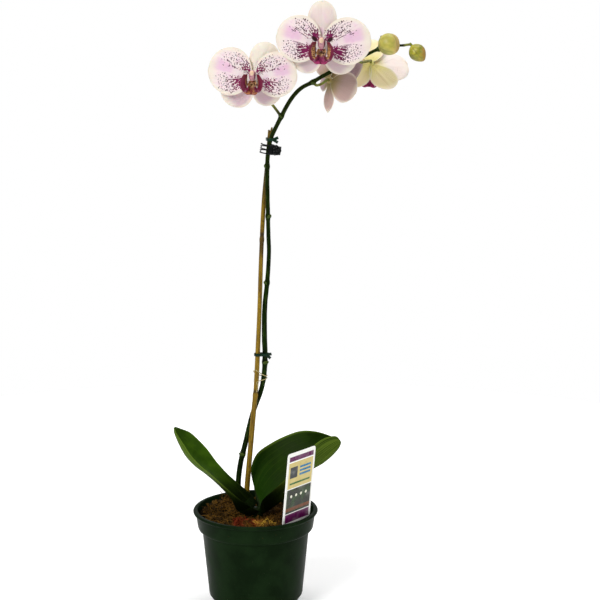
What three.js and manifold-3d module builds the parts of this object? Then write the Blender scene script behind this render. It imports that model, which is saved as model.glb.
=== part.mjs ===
// A moth orchid in a nursery pot: an arching spray with four open blooms and two buds, tied to a bamboo cane.
// Millimetres, +Z up. The origin is the centre of the pot's underside, on the ground. The front faces -Y.
import * as THREE from 'three';
import { mergeVertices } from 'three/addons/utils/BufferGeometryUtils.js';
import Module from 'manifold-3d';

const wasm = await Module();
wasm.setup();

const at = (x, y, z) => new THREE.Vector3(x, y, z);
const smooth = (t) => t * t * (3 - 2 * t);
const clamp = (t) => Math.min(1, Math.max(0, t));
const spread = (count) => Array.from({ length: count + 1 }, (_, i) => i / count);
const across = (count) => spread(count).map((t) => 2 * t - 1);
const degrees = THREE.MathUtils.degToRad;

// Driving dimensions

const POT = {
  height: 105, lipRadius: 65.5, bandTop: 62.6, bandFoot: 60.6, bandHeight: 19, bodyTop: 56, bodyFoot: 49,
  chamferRadius: 43, chamferHeight: 10, wall: 1.8, sides: 32,
};
const DRAIN = { count: 8, radius: 4, ring: 27 };
const MOSS = { middle: 95, slope: 0.09, dip: 2.5, lump: 1.2, rings: 7 };
const HEAP = { x: -35, y: 38, z: 4, reach: 22 };
const CANE_RADIUS = 2.4;
const PETAL_THICKNESS = 0.8;
const LEAF_THICKNESS = 1.9;
// The gap between pieces that touch
const CLEAR = 0.35;

// Solids from geometry and back

function solidOf(geometry) {
  const bare = geometry.index ? geometry.toNonIndexed() : geometry.clone();
  const place = new THREE.BufferGeometry().setAttribute('position', bare.getAttribute('position'));
  const merged = mergeVertices(place, 1e-3);
  const mesh = new wasm.Mesh({
    numProp: 3,
    vertProperties: merged.attributes.position.array,
    triVerts: new Uint32Array(merged.index.array),
  });
  return new wasm.Manifold(mesh);
}

function geometryOf(solid) {
  const mesh = solid.getMesh();
  const positions = new THREE.BufferAttribute(new Float32Array(mesh.vertProperties), 3);
  const geometry = new THREE.BufferGeometry().setAttribute('position', positions);
  geometry.setIndex(new THREE.BufferAttribute(new Uint32Array(mesh.triVerts), 1));
  geometry.computeVertexNormals();
  return geometry;
}

const fuse = (solids) => solids.reduce((all, one) => all.add(one));

// The outer skin alone, with any hollow that is sealed inside it filled in
function filled(solid) {
  return solid.decompose().reduce((most, one) => (one.volume() > most.volume() ? one : most));
}

// Triangles between points, turned so that the faces point out
function closedGeometry(points, triangles) {
  const volume = triangles.reduce((sum, [a, b, c]) => {
    return sum + points[a].dot(points[b].clone().cross(points[c]));
  }, 0);
  const order = volume < 0 ? triangles.map(([a, b, c]) => [a, c, b]) : triangles;
  return new THREE.BufferGeometry().setFromPoints(points).setIndex(order.flat());
}

// A closed body through rings of equal count, with a fan over each end
function loft(rings) {
  const sides = rings[0].length;
  const points = rings.flat();
  const triangles = [];
  for (let i = 0; i + 1 < rings.length; i++) {
    for (let j = 0; j < sides; j++) {
      const [a, b] = [i * sides + j, i * sides + ((j + 1) % sides)];
      triangles.push([a, b, b + sides], [a, b + sides, a + sides]);
    }
  }
  for (const [ring, turn] of [[0, 1], [rings.length - 1, 0]]) {
    const middle = rings[ring].reduce((sum, p) => sum.add(p), at(0, 0, 0)).divideScalar(sides);
    const hub = points.push(middle) - 1;
    for (let j = 0; j < sides; j++) {
      const [a, b] = [ring * sides + j, ring * sides + ((j + 1) % sides)];
      triangles.push(turn ? [hub, b, a] : [hub, a, b]);
    }
  }
  return closedGeometry(points, triangles);
}

// A thin closed blade on the surface (t, v): both faces are split into triangles alike
function blade(surface, rows, columns, thickness) {
  const step = 1e-3;
  const points = [];
  const index = (side, i, j) => (side * rows.length + i) * columns.length + j;
  for (const side of [0.5, -0.5]) {
    for (const t of rows) {
      for (const v of columns) {
        const tt = Math.min(Math.max(t, 2 * step), 1 - 2 * step);
        const along = surface(tt + step, v).sub(surface(tt - step, v));
        const across = surface(tt, v + step).sub(surface(tt, v - step));
        const normal = along.cross(across).normalize();
        const depth = typeof thickness === 'function' ? thickness(t, v) : thickness;
        points.push(surface(t, v).addScaledVector(normal, side * depth));
      }
    }
  }
  const triangles = [];
  const quad = (a, b, c, d) => triangles.push([a, b, c], [a, c, d]);
  const [m, n] = [rows.length - 1, columns.length - 1];
  for (let i = 0; i < m; i++) {
    for (let j = 0; j < n; j++) {
      quad(index(0, i, j), index(0, i + 1, j), index(0, i + 1, j + 1), index(0, i, j + 1));
      const [a, b, c, d] = [index(1, i, j), index(1, i + 1, j), index(1, i + 1, j + 1), index(1, i, j + 1)];
      triangles.push([a, c, b], [a, d, c]);
    }
  }
  for (let i = 0; i < m; i++) {
    quad(index(0, i, 0), index(1, i, 0), index(1, i + 1, 0), index(0, i + 1, 0));
    quad(index(0, i, n), index(0, i + 1, n), index(1, i + 1, n), index(1, i, n));
  }
  for (let j = 0; j < n; j++) {
    quad(index(0, 0, j), index(0, 0, j + 1), index(1, 0, j + 1), index(1, 0, j));
    quad(index(0, m, j), index(1, m, j), index(1, m, j + 1), index(0, m, j + 1));
  }
  return closedGeometry(points, triangles);
}

// A round stalk along a curve, with a ring at each station and a radius that changes along it
function stalk(points, radius, stations, sides) {
  const curve = new THREE.CatmullRomCurve3(points, false, 'centripetal');
  const tangents = stations.map((t) => curve.getTangentAt(t));
  let normal = at(0.3, -0.9, 0.31).cross(tangents[0]).normalize();
  const rings = stations.map((t, i) => {
    if (i) {
      const turn = new THREE.Quaternion().setFromUnitVectors(tangents[i - 1], tangents[i]);
      normal = normal.clone().applyQuaternion(turn);
    }
    const other = tangents[i].clone().cross(normal);
    const r = typeof radius === 'function' ? radius(t) : radius;
    return Array.from({ length: sides }, (_, j) => {
      const angle = (2 * Math.PI * j) / sides;
      const edge = curve.getPointAt(t).addScaledVector(normal, r * Math.cos(angle));
      return edge.addScaledVector(other, r * Math.sin(angle));
    });
  });
  return loft(rings);
}

function turned(profile, sides) {
  const geometry = new THREE.LatheGeometry(profile.map(([r, z]) => new THREE.Vector2(r, z)), sides);
  return geometry.rotateX(Math.PI / 2);
}

// Materials

function finish(color, roughness) {
  return new THREE.MeshStandardMaterial({ color, roughness, metalness: 0 });
}
const PLASTIC_GREEN = finish(0x1f2f22, 0.45);
const MOSS_BROWN = finish(0x7a5a2c, 0.95);
const LEAF_GREEN = finish(0x24430f, 0.4);
const SPIKE_GREEN = finish(0x2a4018, 0.5);
const SEPAL_CREAM = finish(0xeee0dd, 0.5);
const PETAL_WHITE = finish(0xf1e4ec, 0.5);
const LIP_CRIMSON = finish(0x8c0f48, 0.45);
const COLUMN_LILAC = finish(0xc9a3b4, 0.45);
const BUD_GREEN = finish(0x9a9a35, 0.5);
const CANE_TAN = finish(0x9b7a2b, 0.7);
const TIE_GREEN = finish(0x0f4a33, 0.5);
const FIBRE_CREAM = finish(0xd8cfa0, 0.9);
const CLIP_BLACK = finish(0x14161a, 0.35);
const STEEL = new THREE.MeshStandardMaterial({ color: 0x8f9296, roughness: 0.3, metalness: 1 });
const LABEL_WHITE = finish(0xf2f0ea, 0.4);

const orchid = new THREE.Group();
function add(name, solid, material, parent = orchid) {
  const mesh = new THREE.Mesh(geometryOf(solid), material);
  mesh.name = name;
  parent.add(mesh);
  return mesh;
}

// Pot: a moulded shell with a band under its lip, a chamfered foot and drain holes

const bandZ = POT.height - POT.bandHeight;
const innerBand = POT.bandTop - POT.wall;
function pot() {
  const w = POT.wall;
  const outside = [
    [POT.chamferRadius, 0], [POT.chamferRadius + 0.6, 3.5], [POT.bodyFoot, POT.chamferHeight],
    [POT.bodyTop, bandZ - 3], [POT.bandFoot - 0.8, bandZ - 1], [POT.bandFoot, bandZ + 1],
    [POT.bandTop, POT.height - 4], [POT.lipRadius - 0.6, POT.height - 3], [POT.lipRadius, POT.height - 1.6],
    [POT.lipRadius - 1.2, POT.height],
  ];
  const inside = [
    [innerBand, POT.height], [POT.bandFoot - w - 0.4, bandZ + 1.6], [POT.bodyTop - w, bandZ - 1.2],
    [POT.bodyFoot - w, POT.chamferHeight + 0.6], [POT.chamferRadius - 1.6, 4.4], [0, 4.4],
  ];
  const underside = [[0, 0], [13, 0], [14.5, 2.4], [35, 2.4], [36.5, 0]];
  const shell = solidOf(turned([...underside, ...outside, ...inside], POT.sides));
  const holes = Array.from({ length: DRAIN.count }, (_, i) => {
    const angle = (2 * Math.PI * (i + 0.5)) / DRAIN.count;
    const hole = new THREE.CylinderGeometry(DRAIN.radius, DRAIN.radius, 12, 12).rotateX(Math.PI / 2);
    return solidOf(hole.translate(DRAIN.ring * Math.cos(angle), DRAIN.ring * Math.sin(angle), 3));
  });
  return shell.subtract(fuse(holes));
}

// Cane: a thin bamboo stick, slightly bowed, with swollen joints

const CANE_PATH = [
  at(-17.5, 19, 12), at(-12, 15.5, 85), at(-9.2, 13.2, 124), at(-4.8, 10.6, 173), at(-1.6, 8.4, 208),
  at(0.9, 7, 234), at(3, 6.4, 273), at(5.3, 6.2, 326), at(7, 6.2, 374), at(9.9, 6.6, 428),
  at(13.2, 6.9, 464), at(16.9, 7.2, 503),
];
const CANE_JOINTS = [0.168, 0.435, 0.725];
function caneRadius(t) {
  const bump = (joint) => 0.35 * Math.exp(-(((t - joint) / 0.006) ** 2));
  return CANE_JOINTS.reduce((r, joint) => r + bump(joint), CANE_RADIUS - 0.25 * t);
}
// Evenly spread stations, with three more round each swelling
function stationsWith(count, swellings, reach) {
  const extra = swellings.flatMap((t) => [t - reach, t, t + reach]);
  const even = spread(count).filter((t) => extra.every((other) => Math.abs(other - t) > 0.4 * reach));
  return [...even, ...extra].sort((a, b) => a - b);
}
function cane() {
  const stick = solidOf(stalk(CANE_PATH, caneRadius, stationsWith(18, CANE_JOINTS, 0.009), 8));
  const top = CANE_PATH.at(-1);
  const bore = new THREE.CylinderGeometry(0.9, 0.9, 12, 8).rotateX(Math.PI / 2).rotateY(degrees(5));
  return stick.subtract(solidOf(bore.translate(top.x, top.y, top.z)));
}

// Leaf: a thick blade folded in a V along its keel, between its near margin (v = -1) and its far one (v = 1)

const KEEL_ROUNDING = 0.02;
function leafSurface({ keel, near, far, bulge }) {
  const [middle, front, back] = [keel, near, far].map((list) => {
    return new THREE.CatmullRomCurve3(list, false, 'centripetal');
  });
  return (t, v) => {
    const root = Math.sqrt(v * v + KEEL_ROUNDING);
    const k = middle.getPoint(clamp(t));
    const toFar = back.getPoint(clamp(t)).sub(k);
    const toNear = front.getPoint(clamp(t)).sub(k);
    const inward = toFar.clone().add(toNear);
    const hollow = bulge * toFar.distanceTo(toNear) * Math.sin(Math.PI * Math.min(1, Math.abs(v)));
    return k.addScaledVector(toFar, (root + v) / 2).addScaledVector(toNear, (root - v) / 2)
      .addScaledVector(inward.normalize(), -hollow);
  };
}
const LEAF_LEFT = leafSurface({
  keel: [at(-8, -6, 98), at(-20, -9, 104.5), at(-26.5, -7, 119), at(-41, -4, 135), at(-53, -1, 145.5),
    at(-63, 2, 153), at(-73, 4, 163), at(-80, 6, 174), at(-84.5, 8, 184), at(-85, 8, 190)],
  near: [at(4, -10, 104), at(-5, -16, 111), at(-17, -18, 121), at(-31, -19, 134), at(-45, -19, 147),
    at(-58, -17, 157), at(-67, -13, 166), at(-74, -7, 176), at(-81, 1, 185), at(-84.5, 7, 190)],
  far: [at(2, 3, 110.5), at(-4, 4, 118), at(-14, 8, 125), at(-28, 12, 136.5), at(-40.5, 17, 149.5),
    at(-51, 20, 163.5), at(-61, 20, 174), at(-70, 17, 182.5), at(-77.5, 13, 187), at(-84, 9, 191)],
  bulge: 0.07,
});
const LEAF_RIGHT = leafSurface({
  keel: [at(3, 1, 96), at(10, -1.5, 98), at(20, 1, 103), at(34, 5, 112.5), at(49, 9, 127.5),
    at(61, 11, 140.5), at(72, 12, 146.5), at(81.5, 11, 155.5), at(88, 9, 166), at(89.5, 8, 174.5)],
  near: [at(5, -7, 109), at(8, -11, 117), at(19, -11, 128), at(31, -9, 139), at(43, -6, 153),
    at(55, -4, 166), at(64, -2, 175), at(74, 1, 181), at(84, 4, 182), at(89.5, 7.5, 175.5)],
  far: [at(0, 7, 114), at(-2, 13, 124), at(-5, 22, 139), at(1, 30, 154.5), at(15, 35, 165),
    at(30, 36, 173), at(47, 34, 179), at(62, 28, 180), at(76, 18, 179), at(89.5, 8.5, 176)],
  bulge: 0.05,
});
const SHEATH_END = 0.105;
const LEAF_START = 0.114;
const leafRows = [LEAF_START, 0.17, 0.25, 0.35, 0.46, 0.57, 0.68, 0.78, 0.87, 0.94, 0.985];
const leafColumns = [-1, -0.7, -0.35, -0.12, 0, 0.12, 0.35, 0.7, 1];
function leafDepth(t, v) {
  return LEAF_THICKNESS * (1 - 0.45 * Math.abs(v)) * (1 - 0.35 * clamp((t - 0.6) / 0.4));
}
const leaf = (surface) => solidOf(blade(surface, leafRows, leafColumns, leafDepth));

// Crown: the short stem that the leaves grow from, with the sheaths that clasp it, standing in the moss

const CROWN = { x: 1, y: 0, foot: 62, top: 106, radius: 6.5 };
function crownStem(extra) {
  const r = CROWN.radius + extra;
  const foot = CROWN.foot - extra;
  const profile = [[0, foot], [r * 0.6, foot], [r, foot + 10], [r, CROWN.top - 7], [r * 0.7, CROWN.top],
    [0, CROWN.top]];
  return solidOf(turned(profile, 14).translate(CROWN.x, CROWN.y, 0));
}
function crown() {
  const rows = [0, 0.055, SHEATH_END];
  const sheaths = [LEAF_LEFT, LEAF_RIGHT].map((surface) => {
    return solidOf(blade(surface, rows, leafColumns, (t, v) => leafDepth(t, v) + 0.2));
  });
  return fuse([crownStem(0), ...sheaths]);
}

// Spray: the arching flower stem with its joints, bracts and the stalks that carry the blooms and buds

const SPIKE_PATH = [
  at(-5.4, 7.4, 99.5), at(-9.4, 7.4, 102), at(-14.9, 8.6, 106.5), at(-18, 13, 115), at(-18.6, 16, 127),
  at(-16.6, 16.2, 146), at(-10.6, 15.6, 172), at(-3, 15.2, 203), at(6.8, 12.4, 232), at(9.7, 9.8, 251),
  at(10.4, 7.4, 269), at(10.1, 6.2, 289), at(10.8, 5.4, 319), at(13.2, 5, 347), at(14.9, 4.4, 375),
  at(14.5, 3.2, 394), at(14, 1.2, 422), at(13.6, 0.4, 457), at(14.4, 0.2, 478), at(17.4, -0.4, 492),
  at(25.8, -1.4, 510), at(38.6, -5, 533), at(48.2, -8, 543), at(57.5, -10, 548), at(79.7, -14, 560.5),
  at(104.7, -18, 572), at(123, -20, 581), at(139, -22, 584.6), at(149, -22, 585),
];
const SPIKE_LENGTHS = new THREE.CatmullRomCurve3(SPIKE_PATH, false, 'centripetal');
const SPIKE_LENGTH = SPIKE_LENGTHS.getLength();

function stationNear(point) {
  const [fine, gap] = [spread(600), (t) => SPIKE_LENGTHS.getPointAt(t).distanceTo(point)];
  return fine.reduce((best, t) => (gap(t) < gap(best) ? t : best));
}
// The stem's joints, and which way the bract of each points
const JOINTS = [
  { place: at(-14, 16, 159), towards: at(-1, -0.5, 0.2) },
  { place: at(9.8, 9.5, 255), towards: at(1, -0.5, 0) },
  { place: at(11.2, 5.4, 327), towards: at(-1, -0.4, 0.2) },
  { place: at(13.6, 0.4, 464), towards: at(-1, -0.4, 0) },
  { place: at(28, -1.6, 514), towards: at(-0.8, -0.2, 0.6) },
  { place: at(59, -10.2, 548.8), towards: at(0.4, 0.3, -0.8) },
  { place: at(84, -15, 562), towards: at(-0.4, -0.6, 0.7) },
  { place: at(102, -17.6, 571), towards: at(0.4, 0.4, -0.8) },
  { place: at(124, -20, 581.3), towards: at(-0.2, -0.8, 0.5) },
].map((joint) => ({ ...joint, t: stationNear(joint.place) }));
function spikeRadius(t) {
  const plain = 2.9 - 0.75 * smooth(clamp(t / 0.5)) - 0.95 * clamp((t - 0.72) / 0.28) ** 2;
  const swelling = (joint) => 0.6 * Math.exp(-((((t - joint.t) * SPIKE_LENGTH) / 2.6) ** 2));
  return JOINTS.reduce((r, joint) => r + swelling(joint), plain);
}
function bract({ t, towards }) {
  const [middle, along, r] = [SPIKE_LENGTHS.getPointAt(t), SPIKE_LENGTHS.getTangentAt(t), spikeRadius(t)];
  const out = towards.clone().addScaledVector(along, -towards.dot(along)).normalize();
  const point = (up, away) => middle.clone().addScaledVector(along, up).addScaledVector(out, away);
  const line = [point(-1.5, r - 1.6), point(2.5, r - 0.5), point(6.5, r + 1)];
  return solidOf(stalk(line, (s) => 1.8 - 1.3 * s, spread(3), 6));
}

// A bloom's own frame: x to its right, y up its back sepal, z the way it faces
function bloomFrame({ centre, faces, up }) {
  const z = faces.clone().normalize();
  const y = up.clone().addScaledVector(z, -up.dot(z)).normalize();
  return new THREE.Matrix4().makeBasis(y.clone().cross(z), y, z).setPosition(centre);
}
const BLOOMS = [
  { name: 'bloom_1', centre: at(1, -30, 554), faces: at(-0.12, -0.98, -0.1), up: at(0.03, 0, 1),
    size: 0.99, open: 0, curl: 0, dorsal: -24, crest: 33, lateral: [-53, 223], reach: 38, petal: [12, 165],
    lip: 1, joint: 4, stalk: [at(16, -3, 530), at(3, -14, 547)] },
  { name: 'bloom_2', centre: at(68, -48, 585.5), faces: at(-0.1, -0.98, -0.12), up: at(0.03, 0, 1),
    size: 1, open: 0, curl: 0, dorsal: 2, crest: 40.5, lateral: [-40, 222], reach: 32, petal: [11, 166],
    lip: 1, joint: 6, stalk: [at(78, -24, 574), at(70, -36, 583)] },
  { name: 'bloom_3', centre: at(76, 2.5, 550), faces: at(0.55, 0.8, -0.2), up: at(-0.4, 0.25, 0.87),
    size: 0.81, open: 0.34, curl: 0.5, dorsal: 0, crest: 40.5, lateral: [-68, 234], reach: 35,
    petal: [14, 158], lip: 0.65, joint: 5, stalk: [at(63, -8, 545.5), at(68.5, -4.5, 547)] },
  { name: 'bloom_4', centre: at(118, 23, 565.5), faces: at(-0.05, 0.72, -0.68), up: at(0.05, 0.68, 0.72),
    size: 0.88, open: 0.3, curl: 0, dorsal: 0, crest: 40.5, lateral: [-52, 232], reach: 40, petal: [14, 166],
    lip: 0.85, joint: 7, stalk: [at(107.5, -7, 568), at(114, 7, 568.5)] },
];
const BUDS = [
  { name: 'bud_large', centre: at(133.5, -35, 586), axis: at(-0.3, -0.94, 0.1), length: 23, width: 22,
    stalk: [at(128, -21, 583), at(135, -20.5, 588)], from: at(125, -20.2, 581.6) },
  { name: 'bud_small', centre: at(162, -25, 577.5), axis: at(0.62, -0.25, -0.75), length: 19, width: 16.5,
    stalk: [at(151.5, -22.5, 585.6), at(154.5, -22.8, 586)], from: at(147, -22, 584.9) },
];
function flowerStalk(points, r) {
  return solidOf(stalk(points, (t) => r * (0.9 + 0.35 * smooth(t)), spread(4), 6));
}
function bloomStalk({ centre, faces, joint, stalk: bends, size }) {
  const back = faces.clone().normalize();
  const start = SPIKE_LENGTHS.getPointAt(JOINTS[joint].t);
  const end = centre.clone().addScaledVector(back, -1.7 * size - CLEAR - 0.4);
  const before = centre.clone().addScaledVector(back, -4);
  return flowerStalk([start, ...bends, before, end], 1.45);
}
function budStalk({ centre, axis, length, stalk: bends, from }) {
  const back = axis.clone().normalize();
  const end = centre.clone().addScaledVector(back, -length / 2 - CLEAR);
  const before = centre.clone().addScaledVector(back, -length / 2 - 2.5);
  return flowerStalk([from, ...bends, before, end], 1.2);
}
function tipBract() {
  const start = SPIKE_LENGTHS.getPointAt(0.965);
  return solidOf(stalk([start, start.clone().add(at(5, -0.5, 2)), start.clone().add(at(10.5, -1, 4.4))],
    (t) => 1.3 - 0.9 * t * t, spread(3), 6));
}
function spray() {
  const stations = stationsWith(34, JOINTS.map((joint) => joint.t), 3 / SPIKE_LENGTH);
  const stem = solidOf(stalk(SPIKE_PATH, spikeRadius, stations, 8));
  return fuse([stem, ...JOINTS.map(bract), ...BLOOMS.map(bloomStalk), ...BUDS.map(budStalk), tipBract()]);
}

// Bloom: three sepals behind, two broad petals, a lobed lip and the column in the middle

const tepalRows = [0, 0.1, 0.26, 0.46, 0.66, 0.83, 0.94, 0.993];
function tepalSurface({ angle, length, width, peak, round, claw, base, rise, bend, cup, wave, waves }) {
  const a = degrees(angle);
  return (t, v) => {
    const full = (width / 2) * Math.sin(Math.PI * Math.min(t, 1) ** peak) ** round;
    const half = Math.max(full, t < 0.5 ? claw : 0.9);
    const along = 2.4 + length * t;
    const sideways = half * v;
    const ruffle = wave * Math.sin(waves * (v + 2 * t)) * v * v * smooth(clamp(1.4 * t));
    const reach = Math.hypot(along, sideways);
    const out = base + rise * reach + (bend * reach ** 2) / length + cup * v * v * half + ruffle;
    return at(along, sideways, out).applyAxisAngle(at(0, 0, 1), a);
  };
}
const hubDisc = (radius, low, high) => {
  return solidOf(new THREE.CylinderGeometry(radius, radius, high - low, 8).rotateX(Math.PI / 2)
    .translate(0, 0, (low + high) / 2));
};
function tepal(shape, columns, size) {
  const scaled = { ...shape, length: shape.length * size, width: shape.width * size };
  return solidOf(blade(tepalSurface(scaled), tepalRows, across(columns), PETAL_THICKNESS));
}
const SEPAL = { width: 31, peak: 0.92, round: 0.68, claw: 2.6, base: -0.7, cup: -0.1, wave: 0.4, waves: 4 };
const PETAL = { width: 45, peak: 0.98, round: 0.56, claw: 2.6, base: 1.7, cup: -0.07, wave: 0.8, waves: 5 };
function sepals({ open, dorsal, crest, lateral, reach, size }) {
  const back = { ...SEPAL, angle: 90 + dorsal, length: crest, rise: open - 0.06, bend: -0.06 };
  const lower = lateral.map((angle) => ({ ...SEPAL, angle, length: reach, rise: open - 0.12, bend: -0.14 }));
  return fuse([hubDisc(3.4, -1.7, 0.3), ...[back, ...lower].map((shape) => tepal(shape, 4, size))]);
}
function petals({ open, curl, petal, size }) {
  const bends = [curl - 0.1, -0.1];
  const pair = petal.map((angle, i) => ({ ...PETAL, angle, length: 43, rise: open + 0.04, bend: bends[i] }));
  return fuse([hubDisc(3.2, 0.7, 2.5), ...pair.map((shape) => tepal(shape, 6, size))]);
}

// How far the lip and column stand forward in a cupped bloom, clear of its petals
const CUP_LIFT = 1.8;

// Lip: two lobes that stand up beside the column, a middle lobe with two horns, and a warty callus between
function ribbon(points, widthWay, half, rows, columns, fold) {
  const line = new THREE.CatmullRomCurve3(points, false, 'centripetal');
  return solidOf(blade((t, v) => {
    const along = line.getTangent(clamp(t));
    const side = widthWay.clone().addScaledVector(along, -widthWay.dot(along)).normalize();
    const raise = side.clone().cross(along).multiplyScalar(fold * half(clamp(t)) * v * v);
    return line.getPoint(clamp(t)).addScaledVector(side, half(clamp(t)) * v).add(raise);
  }, rows, across(columns), PETAL_THICKNESS));
}
function lip(narrow) {
  const lobeHalf = (t) => 1.2 + 3 * Math.sin(Math.PI * Math.min(0.97, t ** 0.8)) ** 0.7;
  const lobes = [1, -1].map((s) => {
    const line = [at(s, -3.6, 7.2), at(s * 6.4, -5.4, 9), at(s * 10.2, -0.5, 11.2), at(s * 8.8, 6.2, 12.4)];
    return ribbon(line, at(-0.55 * s, 0.1, 0.83), lobeHalf, spread(4), 2, 0.3 * s);
  });
  const midHalf = (t) => 2 + 5 * Math.exp(-(((t - 0.72) / 0.22) ** 2)) - 1.4 * t ** 6;
  const midLine = [at(0, -3.2, 5.6), at(0, -8, 8.6), at(0, -13, 11), at(0, -17, 14.5)];
  const middle = ribbon(midLine, at(1, 0, 0), midHalf, spread(5), 2, 0.35);
  const horns = [1, -1].map((s) => {
    return solidOf(stalk([at(s * 0.6, -16, 13.6), at(s * 3.6, -16.4, 15.2), at(s * 6.8, -13.6, 16.4)],
      (t) => 0.8 - 0.35 * t, spread(2), 4));
  });
  const callus = solidOf(new THREE.SphereGeometry(2, 7, 4).scale(1.15, 0.75, 1.1).translate(0, -4.2, 7.6));
  const claw = solidOf(new THREE.CylinderGeometry(1.4, 1.4, 5.3, 6).rotateX(Math.PI / 2)
    .translate(0, -3.2, 5.6));
  return filled(fuse([claw, middle, ...lobes, ...horns, callus]).scale([narrow, narrow, 1]));
}
function column(narrow) {
  const profile = [[2.6, 2.8, 2.2], [2.8, 4.2, 2.4], [2.6, 6, 2.5], [2, 7.8, 2.8], [0.9, 9.6, 2.9],
    [-0.4, 11, 2.3], [-1.6, 11.8, 1.1]];
  const path = profile.map(([y, z]) => at(0, y, z));
  const curve = new THREE.CatmullRomCurve3(path, false, 'centripetal');
  const rings = profile.map(([, , r], i) => {
    const t = i / (profile.length - 1);
    const along = i ? curve.getTangent(t) : at(0, 0, 1);
    const up = at(1, 0, 0).cross(along).normalize();
    return Array.from({ length: 8 }, (_, j) => {
      const angle = (2 * Math.PI * j) / 8;
      const side = at(r * 1.05 * Math.cos(angle), 0, 0);
      return path[i].clone().add(side).addScaledVector(up, -r * Math.sin(angle));
    });
  });
  return solidOf(loft(rings)).scale([narrow, narrow, 1]);
}

// Bud: an egg with three seams where its sepals meet
function bud({ length, width }) {
  const rings = spread(8).map((t) => {
    const s = 0.02 + 0.96 * t;
    const r = (width / 2) * Math.sin(Math.PI * s ** 0.92) ** 0.62;
    return Array.from({ length: 15 }, (_, j) => {
      const angle = (2 * Math.PI * j) / 15;
      const seam = 1 - 0.045 * Math.max(0, Math.cos(3 * angle)) ** 3 * Math.sin(Math.PI * s);
      return at(r * seam * Math.cos(angle), r * seam * Math.sin(angle), length * (t - 0.5));
    });
  });
  return solidOf(loft(rings));
}

// Ties: plastic tape round the cane and the stem, with its two ends pinched together and splayed

const TAPE = { thickness: 0.9, height: 3, end: 5.5 };
function tieBand(a, b, radiusA, radiusB) {
  const loop = (extra) => {
    const angle = Math.atan2(b.y - a.y, b.x - a.x);
    const lean = Math.acos((radiusB - radiusA) / Math.hypot(b.x - a.x, b.y - a.y));
    const path = new THREE.Path();
    path.absarc(b.x, b.y, radiusB + extra, angle - (Math.PI - lean), angle + (Math.PI - lean), false);
    path.absarc(a.x, a.y, radiusA + extra, angle + (Math.PI - lean), angle + Math.PI + lean, false);
    path.closePath();
    return path.getPoints(5);
  };
  const outline = new THREE.Shape(loop(TAPE.thickness));
  outline.holes.push(new THREE.Path(loop(0)));
  const band = new THREE.ExtrudeGeometry(outline, { depth: TAPE.height, bevelEnabled: false });
  return solidOf(band.translate(0, 0, a.z - TAPE.height / 2));
}
function tapeEnd(start, way) {
  const strip = new THREE.BoxGeometry(TAPE.end, TAPE.thickness, TAPE.height);
  const end = solidOf(strip.translate(TAPE.end / 2, 0, 0));
  const turn = new THREE.Matrix4().makeRotationFromQuaternion(
    new THREE.Quaternion().setFromUnitVectors(at(1, 0, 0), way.clone().normalize()),
  );
  return end.transform(turn.setPosition(start).elements);
}
function tie(a, b, radiusA, radiusB, way, ends) {
  const start = b.clone().addScaledVector(way.clone().normalize(), radiusB + 0.2);
  return fuse([tieBand(a, b, radiusA, radiusB), ...ends.map((end) => tapeEnd(start, end))]);
}

// Fibre: a thin raffia thread wound once and a half round the cane and the stem, with a loose end
function fibre() {
  const wrap = [
    ['cane', 229, 292], ['cane', 236, 300], ['cane', 239.6, 285], ['spike', 241, 255],
    ['spike', 242, 320], ['spike', 242.8, 20], ['spike', 243.6, 80], ['cane', 247, 100],
    ['cane', 249.6, 150], ['cane', 251.6, 200], ['cane', 252.4, 255], ['cane', 250.6, 300],
    ['spike', 247.4, 240], ['spike', 245.8, 290], ['spike', 245.2, 345], ['spike', 245.4, 40],
  ];
  const member = { cane: { path: CANE_PATH, radius: 3.2 }, spike: { path: SPIKE_PATH, radius: 3.8 } };
  const points = wrap.map(([which, z, angle]) => {
    const { path, radius } = member[which];
    const i = path.findIndex((p, k) => k > 2 && p.z > z);
    const middle = path[i - 1].clone().lerp(path[i], (z - path[i - 1].z) / (path[i].z - path[i - 1].z));
    return middle.add(at(radius * Math.cos(degrees(angle)), radius * Math.sin(degrees(angle)), 0));
  });
  return solidOf(stalk(points, 0.42, spread(40), 5));
}

// Claw clip: two combed jaws that a small spring closes on the stem and the cane, hinged along the stem

const CLIP = {
  hinge: at(22.1, 3.4, 480), tilt: 9, height: 10, inner: 6.5, outer: 7.7, reach: 8.3, pin: 0.7, barrel: 1.9,
};
const clipFrame = new THREE.Group();
clipFrame.position.copy(CLIP.hinge);
clipFrame.rotation.y = degrees(CLIP.tilt);
orchid.add(clipFrame);

function prism(shape, low, high) {
  const options = { depth: high - low, bevelEnabled: false, curveSegments: 3 };
  return solidOf(new THREE.ExtrudeGeometry(shape, options).translate(0, 0, low));
}
function arcBar(from, to, inner, outer) {
  const [a, b] = [degrees(from), degrees(to)];
  const shape = new THREE.Shape();
  shape.absarc(-CLIP.reach, 0, outer, a, b, b < a);
  shape.absarc(-CLIP.reach, 0, inner, b, a, b > a);
  shape.closePath();
  return shape;
}
function knuckle(low, high) {
  const round = (r) => new THREE.Path().absarc(0, 0, r, 0, 2 * Math.PI).getPoints(10).slice(1);
  const ring = new THREE.Shape(round(CLIP.barrel));
  ring.holes.push(new THREE.Path(round(CLIP.pin + CLEAR)));
  return prism(ring, low, high);
}
function bar(x0, y0, x1, y1, thick) {
  const n = new THREE.Vector2(y0 - y1, x1 - x0).normalize().multiplyScalar(thick / 2);
  return new THREE.Shape([new THREE.Vector2(x0 + n.x, y0 + n.y), new THREE.Vector2(x0 - n.x, y0 - n.y),
    new THREE.Vector2(x1 - n.x, y1 - n.y), new THREE.Vector2(x1 + n.x, y1 + n.y)]);
}
// A round rod along the hinge
function rod(radius, low, high, sides) {
  const round = new THREE.CylinderGeometry(radius, radius, high - low, sides).rotateX(Math.PI / 2);
  return solidOf(round.translate(0, 0, (low + high) / 2));
}
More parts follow.
